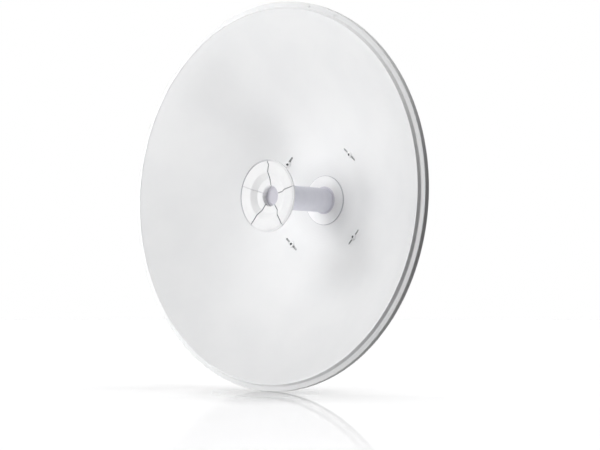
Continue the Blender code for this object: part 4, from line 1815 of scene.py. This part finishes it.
@dataclass
class Brackets:
    """The cheek bracket, the mounting bracket that tilts in it, and what fastens them."""

    plate: float = 0.004
    bend: float = 0.0035
    skin_gap: float = 0.0001
    easing: float = 0.0004
    notch_gap: float = 0.0012
    notch_inset: float = 0.0005
    notch_fillet: float = 0.0006
    end_fillet: float = 0.016
    end_steps: int = 12
    base_half: float = 0.062
    base_corner: float = 0.010
    base_depth: float = 0.1633
    base_hole: float = 0.036
    base_hole_sides: int = 72
    cheek_outer: float = 0.0619
    cheek_half: float = 0.047
    cheek_depth: float = 0.246
    mount_half: float = 0.0576
    mount_height: float = 0.066
    mount_corner: float = 0.012
    # Length and width
    mount_slot: Point = (0.022, 0.009)
    mount_slot_offset: Point = (0.030, 0.046)
    mount_slot_reach: float = 0.008
    tongue_front: float = 0.197
    tongue_half: float = 0.040
    pivot: Point = (0.221 - LIP_TO_MOUNT, -0.019)
    lock: Point = (0.221 - LIP_TO_MOUNT, 0.019)
    lock_arm: float = 0.038
    lock_swing: float = 20.0
    bolt_radius: float = 0.004
    bolt_slack: float = 0.0004
    bolt_flats: float = 0.0130
    bolt_head: float = 0.0053
    bolt_washer: float = 0.0005
    bolt_root: float = 0.002
    bolt_tail: float = 0.003
    bolt_pitch: float = 0.00125
    bolt_thread_gap: float = 0.00005
    bolt_steps: int = 40
    bolt_hole_sides: int = 28
    nut_height: float = 0.0065
    nut_slack: float = 0.00015
    nut_space: float = 0.0008
    screw_hole_sides: int = 24
    screw_hole_reach: float = 0.006
    screw_radius: float = 0.003
    screw_tip: float = -0.159
    screw_tip_fillet: float = 0.0004
    screw_height: float = 0.004
    screw_steps: int = 48
    screw_key: float = 0.0029
    screw_key_depth: float = 0.0022
    # The pan head, as (radius, height, rounding)
    screw_head: tuple[Corner, ...] = (Corner(0.0062, 0.0, 0.0002), Corner(0.0062, 0.002, 0.0008),
                                      Corner(0.0043, 0.004, 0.0010))

    def build(self, shop: Workshop) -> None:
        """Makes both brackets, the screws and the tilt bolts.

        Args:
            shop: Where the pieces go.
        """
        here = Matrix.Identity(4)
        shop.finish("cheek_channel", self.cheeks(), Slot.GALVANISED, ["cheek_bracket"], here)
        shop.finish("mounting_channel", self.mount(), Slot.GALVANISED, ["mount_bracket"], here)
        for number, (x, z) in enumerate(four(PLATE_SCREW_OFFSET, PLATE_SCREW_OFFSET), start=1):
            place = DISH @ Matrix.Translation((x, z, 0.0))
            nodes = ["base_screw_%d" % number]
            shop.finish("plate_screw_%d" % number, self.screw(), Slot.STAINLESS, nodes, place)
        for kind, (y, z) in (("pivot", self.pivot), ("lock", self.lock)):
            for side, turn in (("left", -90.0), ("right", 90.0)):
                place = Matrix.Translation((0.0, y, z)) @ Matrix.Rotation(math.radians(turn), 4, "Y")
                shop.finish("%s_screw_%s" % (kind, side), self.bolt(), Slot.STAINLESS,
                            ["%s_bolt_%s" % (kind, side)], place)
                shop.finish("%s_hexnut_%s" % (kind, side), self.nut(), Slot.STAINLESS,
                            ["%s_nut_%s" % (kind, side)], place)

    def channel(self, half: float, web: float, ends: float, height: float) -> bpy.types.Mesh:
        """A U of bent plate, open to one side along Y.

        Args:
            half: Half its outer width.
            web: Y of the outside of its web.
            ends: Y of the ends of its sides.
            height: Half its height.

        Returns:
            The mesh.
        """
        way = math.copysign(1.0, ends - web)
        outer, inner = self.bend + self.plate, self.bend
        left, right = -way * half, way * half
        wall = web + way * self.plate
        corners = [
            Corner(left, ends), Corner(left, web, outer), Corner(right, web, outer), Corner(right, ends),
            Corner(right - way * self.plate, ends), Corner(right - way * self.plate, wall, inner),
            Corner(left + way * self.plate, wall, inner), Corner(left + way * self.plate, ends),
        ]
        return slab(rounded(corners), -height, height)

    def notched(self, half: float, high: float, corner: float, outer: float, sides: float) -> list[Point]:
        """Outline of a plate with a notch beside each bend, where the sides of its channel start.

        Args:
            half: Half its width.
            high: Half its height.
            corner: The rounding of its corners.
            outer: Half the outer width of the channel.
            sides: Half the height of the channel's sides.

        Returns:
            The points.
        """
        notch = sides + self.notch_gap
        inset = outer - self.plate - self.bend - self.notch_inset
        fillet = self.notch_fillet
        return rounded([
            Corner(half, high, corner), Corner(-half, high, corner),
            Corner(-half, notch, fillet), Corner(-inset, notch, fillet),
            Corner(-inset, -notch, fillet), Corner(-half, -notch, fillet),
            Corner(-half, -high, corner), Corner(half, -high, corner),
            Corner(half, -notch, fillet), Corner(inset, -notch, fillet),
            Corner(inset, notch, fillet), Corner(half, notch, fillet),
        ])

    def across(self, outline: Sequence[Point]) -> tuple[Cut, bpy.types.Mesh]:
        """A tool that cuts a hole with an outline of (y, z) points through both sides of a bracket."""
        return drill(outline, WIDE, ACROSS)

    def bolt_hole(self, spot: Point) -> tuple[Cut, bpy.types.Mesh]:
        """A tool that cuts a bolt hole through both sides of a bracket."""
        hole = disc(self.bolt_radius + self.bolt_slack, self.bolt_hole_sides)
        return self.across(shifted(hole, *spot))

    def cheeks(self) -> bpy.types.Mesh:
        """The base plate with two bent cheeks, pivot holes and curved lock slots.

        Returns:
            The mesh.
        """
        front = self.base_depth - LIP_TO_MOUNT
        rear = self.cheek_depth - LIP_TO_MOUNT
        half = self.cheek_half
        body = self.channel(self.cheek_outer, front, rear, half)
        base = self.notched(self.base_half, self.base_half, self.base_corner, self.cheek_outer, half)
        past_web = front + self.plate + self.skin_gap
        keep = rounded([
            Corner(-FAR, -TALL), Corner(past_web, -TALL), Corner(past_web, -half),
            Corner(rear, -half, self.end_fillet), Corner(rear, half, self.end_fillet),
            Corner(past_web, half), Corner(past_web, TALL), Corner(-FAR, TALL),
        ], arc_steps=self.end_steps)
        slot = arc_slot(self.pivot, self.lock_arm, 2.0 * (self.bolt_radius + self.bolt_slack), 90.0,
                        self.lock_swing)
        middle = rear_frame(front + self.plate / 2.0)
        tools = [
            (Cut.JOIN, slab(base, 0.0, self.plate, rear_frame(front + self.plate))),
            (Cut.COMMON, slab(keep, -WIDE, WIDE, ACROSS)),
            self.bolt_hole(self.pivot),
            self.across(slot),
            drill(disc(self.base_hole, self.base_hole_sides), DEEP, middle),
        ]
        hole = disc(PLATE_SCREW_HOLE, self.screw_hole_sides)
        tools += [drill(shifted(hole, x, z), self.screw_hole_reach, middle)
                  for x, z in four(PLATE_SCREW_OFFSET, PLATE_SCREW_OFFSET)]
        return eased(carve(body, tools), self.easing)

    def mount(self) -> bpy.types.Mesh:
        """The mounting plate with two bent tongues and four slots.

        Returns:
            The mesh.
        """
        front = self.tongue_front - LIP_TO_MOUNT
        half = self.tongue_half
        body = self.channel(self.mount_half - self.skin_gap, 0.0, front, half)
        outline = self.notched(self.mount_half, self.mount_height, self.mount_corner, self.mount_half, half)
        past_web = -self.plate - self.skin_gap
        keep = rounded([
            Corner(front, -half, self.end_fillet), Corner(past_web, -half), Corner(past_web, -WIDE),
            Corner(DEEP, -WIDE), Corner(DEEP, WIDE), Corner(past_web, WIDE), Corner(past_web, half),
            Corner(front, half, self.end_fillet),
        ], arc_steps=self.end_steps)
        tools = [
            (Cut.JOIN, slab(outline, 0.0, self.plate, rear_frame(0.0))),
            (Cut.COMMON, slab(keep, -WIDE, WIDE, ACROSS)),
            self.bolt_hole(self.pivot),
            self.bolt_hole(self.lock),
        ]
        slot = [(v, -u) for u, v in stadium(*self.mount_slot)]
        tools += [drill(shifted(slot, x, z), self.mount_slot_reach, rear_frame(-self.plate / 2.0))
                  for x, z in four(*self.mount_slot_offset)]
        return eased(carve(body, tools), self.easing)

    def screw(self) -> bpy.types.Mesh:
        """A pan-head screw with a hexagonal socket, head to the rear.

        Returns:
            The mesh.
        """
        seat = -(self.base_depth + self.plate + self.skin_gap)
        top = seat - self.screw_height
        outline = rounded([
            Corner(0.0, self.screw_tip),
            Corner(self.screw_radius, self.screw_tip, self.screw_tip_fillet),
            Corner(self.screw_radius, seat),
            *(Corner(corner.x, seat - corner.y, corner.fillet) for corner in self.screw_head),
            Corner(0.0, top),
        ])
        key = slab(disc(self.screw_key, 6), top - OVER, top + self.screw_key_depth)
        return carve(lathe(outline, self.screw_steps), [(Cut.AWAY, key)])

    def nut_face(self) -> float:
        """Local z of the nuts' outer face, just inside the tongue."""
        return self.cheek_outer - 2.0 * self.plate - self.nut_space

    def bolt(self) -> bpy.types.Mesh:
        """A hexagon bolt with a washer face, its shank running inward.

        Returns:
            The mesh.
        """
        outer = self.cheek_outer + self.skin_gap
        head = Hexagon(self.bolt_flats, washer=self.bolt_washer).mesh(outer, outer + self.bolt_head)
        end = self.nut_face() - self.nut_height - self.bolt_tail
        shank = threaded_rod(self.bolt_radius - self.bolt_thread_gap, end, outer + self.bolt_root,
                             self.bolt_pitch)
        return carve(head, [(Cut.JOIN, lathe(shank, self.bolt_steps))])

    def nut(self) -> bpy.types.Mesh:
        """The nut inside the tongue.

        Returns:
            The mesh.
        """
        inner = self.nut_face()
        body = Hexagon(self.bolt_flats, both=True).mesh(inner - self.nut_height, inner)
        bore = disc(self.bolt_radius + self.nut_slack, self.bolt_steps)
        return carve(body, [drill(bore, DEEP, Matrix.Translation((0.0, 0.0, inner)))])


# Studio

class Lit(Enum):
    """What a light panel is aimed at."""

    BOWL = "bowl"
    RIM = "rim"
    FEED = "feed"
    BACK = "back"


@dataclass(frozen=True)
class Panel:
    """A soft round light panel that looks at the dish. Azimuth 0 is straight in front, 90 is on the right."""

    name: str
    azimuth: float
    elevation: float
    power: float
    lit: tuple[Lit, ...]
    past_feed: bool = False
    distance: float = 3.0
    size: float = 1.5

    def way(self) -> Vector:
        """The unit vector from the dish to the panel.

        Returns:
            The vector.
        """
        turn, rise = math.radians(self.azimuth), math.radians(self.elevation)
        return Vector((math.sin(turn) * math.cos(rise), -math.cos(turn) * math.cos(rise), math.sin(rise)))


def only_seen(thing: bpy.types.Object) -> None:
    """Keeps an object of the stage from lighting, shading or being mirrored in the pieces.

    Args:
        thing: The object.
    """
    thing.visible_diffuse = False
    thing.visible_glossy = False
    thing.visible_shadow = False


SHEETS = (Lit.BOWL, Lit.BACK)
RIM = (Lit.RIM,)
FEED = (Lit.FEED,)


@dataclass
class Studio:
    """A pale glossy floor, a white surround, soft light panels and the camera."""

    target: Triple = (0.0, -0.22, 0.0)
    dome_radius: float = 12.0
    lens: float = 90.0
    eye: Triple = (1.6885, -2.0958, -0.1802)
    aim: Triple = (0.0735, -0.278, -0.0511)
    panels: tuple[Panel, ...] = (
        Panel("bowl_right", 90.0, -50.0, 66.6, SHEETS),
        Panel("bowl_low_right", 50.0, -35.0, 34.8, SHEETS, past_feed=True),
        Panel("bowl_high", -25.0, 35.0, 28.0, SHEETS, past_feed=True),
        Panel("bowl_left", -25.0, 0.0, 21.0, SHEETS),
        Panel("bowl_low", 0.0, -72.0, 17.3, SHEETS, past_feed=True),
        Panel("bowl_high_left", -50.0, 35.0, 16.1, SHEETS),
        Panel("bowl_top", 0.0, 35.0, 12.5, SHEETS, past_feed=True),
        Panel("bowl_side", -50.0, 0.0, 7.8, SHEETS),
        Panel("rim_key", -25.0, 0.0, 56.0, RIM),
        Panel("rim_left", -75.0, 0.0, 56.0, RIM),
        Panel("rim_top", 0.0, 72.0, 41.0, RIM),
        Panel("rim_low", -25.0, -35.0, 2.0, RIM),
        Panel("rim_below", 0.0, -72.0, 17.0, RIM),
        Panel("rim_right", 50.0, 35.0, 9.0, RIM),
        Panel("feed_key", -25.0, 0.0, 50.0, FEED),
        Panel("feed_high_left", -50.0, 35.0, 29.0, FEED),
        Panel("feed_low_right", 50.0, -35.0, 24.2, FEED),
        Panel("feed_below", 0.0, -72.0, 22.5, FEED),
        Panel("feed_top", 0.0, 72.0, 17.8, FEED),
        Panel("feed_high", 0.0, 35.0, 7.8, FEED),
        Panel("rear_left", -130.0, 0.0, 42.0, SHEETS),
        Panel("rear_right", 130.0, 25.0, 22.0, SHEETS),
        Panel("rear_high", 180.0, 50.0, 26.0, SHEETS),
        Panel("rear_rim", 180.0, 10.0, 36.0, RIM),
    )
    dome_segments: int = 48
    clip_start: float = 0.05
    clip_end: float = 60.0
    world_right: Span = (0.15, 0.9)
    world_right_dim: float = 0.75
    world_high: Span = (-0.2, 0.8)
    world_low_glow: float = 0.75
    world_high_glow: float = 0.35
    world_behind: Span = (0.1, 0.6)
    floor_reach: float = 1.2
    floor_colour: Colour = (0.55, 0.55, 0.555)
    floor_sun: float = 2.6
    floor_sun_way: Triple = (0.0, 0.15, 1.0)
    floor_softness: float = 50.0
    floor_glow: float = 0.57
    mottle_size: float = 0.4
    mottle_gloss: float = 0.01
    mirror_roughness: float = 0.03
    mirror_shares: Triple = (0.60, 0.38, 0.11)
    mirror_near: Span = (0.05, 0.36)
    mirror_far: Span = (0.3, 1.2)
    # Two painted shadows on the floor: an ellipse about this centre, and a smaller round one where the dish
    # touches
    contact_centre: Triple = (0.053, -0.338, 0.0)
    contact_turn: float = 41.6
    contact_scale: Triple = (0.55, 0.8, 1.0)
    contact_painted_shadow: float = 0.27
    contact_reach: float = 0.35
    touch_painted_shadow: float = 0.17
    touch_reach: float = 0.16

    def build(self, shop: Workshop) -> None:
        """Makes the stage, the lights and the camera.

        Args:
            shop: Holds the pieces that the lights are linked to.
        """
        self.world()
        floor = self.floor()
        self.dome()
        blockers = self.collect("blockers_but_feed", shop, set(Lit) - set(FEED))
        for panel in self.panels:
            lamp = self.light(panel)
            lit = self.collect("lit_by_" + panel.name, shop, set(panel.lit))
            lamp.light_linking.receiver_collection = lit
            if panel.past_feed:
                lamp.light_linking.blocker_collection = blockers
        self.overhead(floor)
        self.camera()
        bpy.context.scene.view_settings.view_transform = "Standard"
        bpy.context.scene.view_settings.look = "None"

    @staticmethod
    def group(name: str) -> Lit:
        """Which lights a piece is lit by.

        Args:
            name: The piece's name.

        Returns:
            Its group.
        """
        if name == "reflector_bowl" or name.startswith("dish_bolt"):
            return Lit.BOWL
        if name == "reflector_rim" or name.startswith("rivet"):
            return Lit.RIM
        if name in ("flange_disc", "collar_ring", "mast_tube", "cap_carrier", "petal_cap", "core_plug"):
            return Lit.FEED
        return Lit.BACK

    def collect(self, name: str, shop: Workshop, groups: set[Lit]) -> bpy.types.Collection:
        """Collects the pieces of some groups.

        Args:
            name: The collection's name.
            shop: Holds the pieces.
            groups: The groups.

        Returns:
            A collection of them, which isn't in the scene itself.
        """
        found = bpy.data.collections.new(name)
        for piece in shop.pieces:
            if self.group(piece.name) in groups:
                found.objects.link(piece)
        return found

    def light(self, panel: Panel) -> bpy.types.Object:
        """Adds one panel.

        Args:
            panel: Its place, size and power.

        Returns:
            The light.
        """
        data = bpy.data.lights.new(panel.name, "AREA")
        data.shape = "DISK"
        data.size = panel.size
        data.energy = panel.power
        lamp = placed(panel.name, data)
        way = panel.way()
        lamp.location = Vector(self.target) + way * panel.distance
        lamp.rotation_euler = way.to_track_quat("Z", "Y").to_euler()
        lamp.visible_camera = False
        lamp.visible_glossy = False
        return lamp

    def overhead(self, floor: bpy.types.Object) -> None:
        """Adds the wide overhead light that only falls on the floor.

        Args:
            floor: The floor.
        """
        lit = bpy.data.collections.new("lit_by_overhead")
        lit.objects.link(floor)
        data = bpy.data.lights.new("overhead", "SUN")
        data.energy = self.floor_sun
        data.angle = math.radians(self.floor_softness)
        lamp = placed("overhead", data)
        lamp.rotation_euler = Vector(self.floor_sun_way).to_track_quat("Z", "Y").to_euler()
        lamp.light_linking.receiver_collection = lit

    def world(self) -> None:
        """A surround that only gloss sees: white, and dimmer to the right of the front."""
        world = bpy.data.worlds.new("studio")
        world.use_nodes = True
        graph = Graph(world.node_tree)
        heading = graph.add("ShaderNodeTexCoord").out("Generated")
        split = graph.add("ShaderNodeSeparateXYZ", None, {0: heading})
        right = split.value("X").step(*self.world_right)
        high = split.value("Z").step(*self.world_high)
        behind_dish = split.value("Y").step(*self.world_behind)
        front = (1.0 - right * self.world_right_dim) * (self.world_low_glow + high * self.world_high_glow)
        glow = self.blend(behind_dish, front, 1.0)
        background = graph.add("ShaderNodeBackground", None, {"Color": WHITE, "Strength": glow})
        graph.add("ShaderNodeOutputWorld", None, {"Surface": background.out()})
        bpy.context.scene.world = world
        world.cycles_visibility.diffuse = False

    @staticmethod
    def blend(share: Value, low: Value | float, high: Value | float) -> Value:
        """Goes from low to high as the share goes from 0 to 1."""
        return (1.0 - share) * low + share * high

    def floor(self) -> bpy.types.Object:
        """The floor: pale, with a soft mirror that fades away from the dish.

        Returns:
            The floor.
        """
        mesh = bpy.data.meshes.new("floor")
        reach = self.dome_radius * self.floor_reach
        corners = [(-reach, -reach, 0.0), (reach, -reach, 0.0), (reach, reach, 0.0), (-reach, reach, 0.0)]
        mesh.from_pydata(corners, [], [(0, 1, 2, 3)])
        floor = placed("floor", mesh)
        floor.location = (0.0, 0.0, FLOOR_Z)
        mesh.materials.append(self.floor_material())
        only_seen(floor)
        return floor

    def floor_material(self) -> bpy.types.Material:
        """Pale gloss, with painted shadows where the dish touches it.

        Returns:
            The material.
        """
        material, graph = new_material("floor_gloss")
        mottle = graph.noise(graph.place(), self.mottle_size)
        glow = graph.add("ShaderNodeEmission", None, {"Color": WHITE, "Strength": self.floor_glow})
        matt = graph.add("ShaderNodeBsdfDiffuse", None, {"Color": (*self.floor_colour, 1.0)})
        open_floor = graph.add("ShaderNodeAddShader", None, {0: glow.out(), 1: matt.out()})
        # Painted shadow under the dish: an ellipse, darkest at its centre
        contact = graph.add("ShaderNodeMapping", {"vector_type": "TEXTURE"}, {
            "Vector": graph.place(),
            "Location": self.contact_centre,
            "Rotation": (0.0, 0.0, math.radians(self.contact_turn)),
            "Scale": self.contact_scale,
        })
        away = graph.add("ShaderNodeVectorMath", {"operation": "LENGTH"}, {0: contact.out()}).value("Value")
        painted_shadow_share = (1.0 - away.step(0.0, self.contact_reach)) * self.contact_painted_shadow
        # Black that the painted shadows mix in
        shadow_black = graph.add("ShaderNodeBsdfDiffuse", None, {"Color": BLACK})
        both = graph.add("ShaderNodeMixShader", None, {0: painted_shadow_share, 1: open_floor.out(), 2: shadow_black.out()})
        roughness = self.mirror_roughness + mottle * self.mottle_gloss
        mirror = graph.add("ShaderNodeBsdfGlossy", None, {"Color": WHITE, "Roughness": roughness})
        spot = graph.add("ShaderNodeVectorMath", {"operation": "DISTANCE"},
                         {0: graph.place(), 1: (0.0, -LIP_TO_MOUNT, 0.0)})
        gap = spot.value("Value")
        near, middle, far = self.mirror_shares
        share = (self.blend(gap.step(*self.mirror_near), near - middle, 0.0)
                 + self.blend(gap.step(*self.mirror_far), middle, far))
        glossy = graph.add("ShaderNodeMixShader", None, {0: share, 1: both.out(), 2: mirror.out()})
        # A smaller painted shadow where the dish touches the floor
        touch = (1.0 - gap.step(0.0, self.touch_reach)) * self.touch_painted_shadow
        graph.surface(graph.add("ShaderNodeMixShader", None, {0: touch, 1: glossy.out(), 2: shadow_black.out()}))
        return material

    def dome(self) -> None:
        """The white surround that only the camera sees."""
        shape = bmesh.new()
        bmesh.ops.create_uvsphere(shape, u_segments=self.dome_segments, v_segments=self.dome_segments // 2,
                                  radius=self.dome_radius)
        dome = placed("surround", from_bmesh(shape))
        material, graph = new_material("surround_white")
        graph.surface(graph.add("ShaderNodeEmission", None, {"Color": WHITE, "Strength": 1.0}))
        dome.data.materials.append(material)
        only_seen(dome)
        dome.visible_transmission = False

    def camera(self) -> None:
        """The camera, at the photograph's angle."""
        data = bpy.data.cameras.new("camera")
        data.lens = self.lens
        data.clip_start = self.clip_start
        data.clip_end = self.clip_end
        camera = placed("camera", data)
        camera.location = self.eye
        aim = Vector(self.aim) - Vector(self.eye)
        camera.rotation_euler = aim.to_track_quat("-Z", "Y").to_euler()
        bpy.context.scene.camera = camera


def main() -> None:
    """Builds the antenna and its studio."""
    logging.basicConfig(level=logging.INFO, format="%(message)s")
    shop = Workshop()
    for part in (Reflector(), Feed(), HubPlate(), FeedSocket(), Brackets()):
        part.build(shop)
        LOG.info("%s done", type(part).__name__)
    Studio().build(shop)
    bpy.context.view_layer.update()


if __name__ == "__main__":
    main()
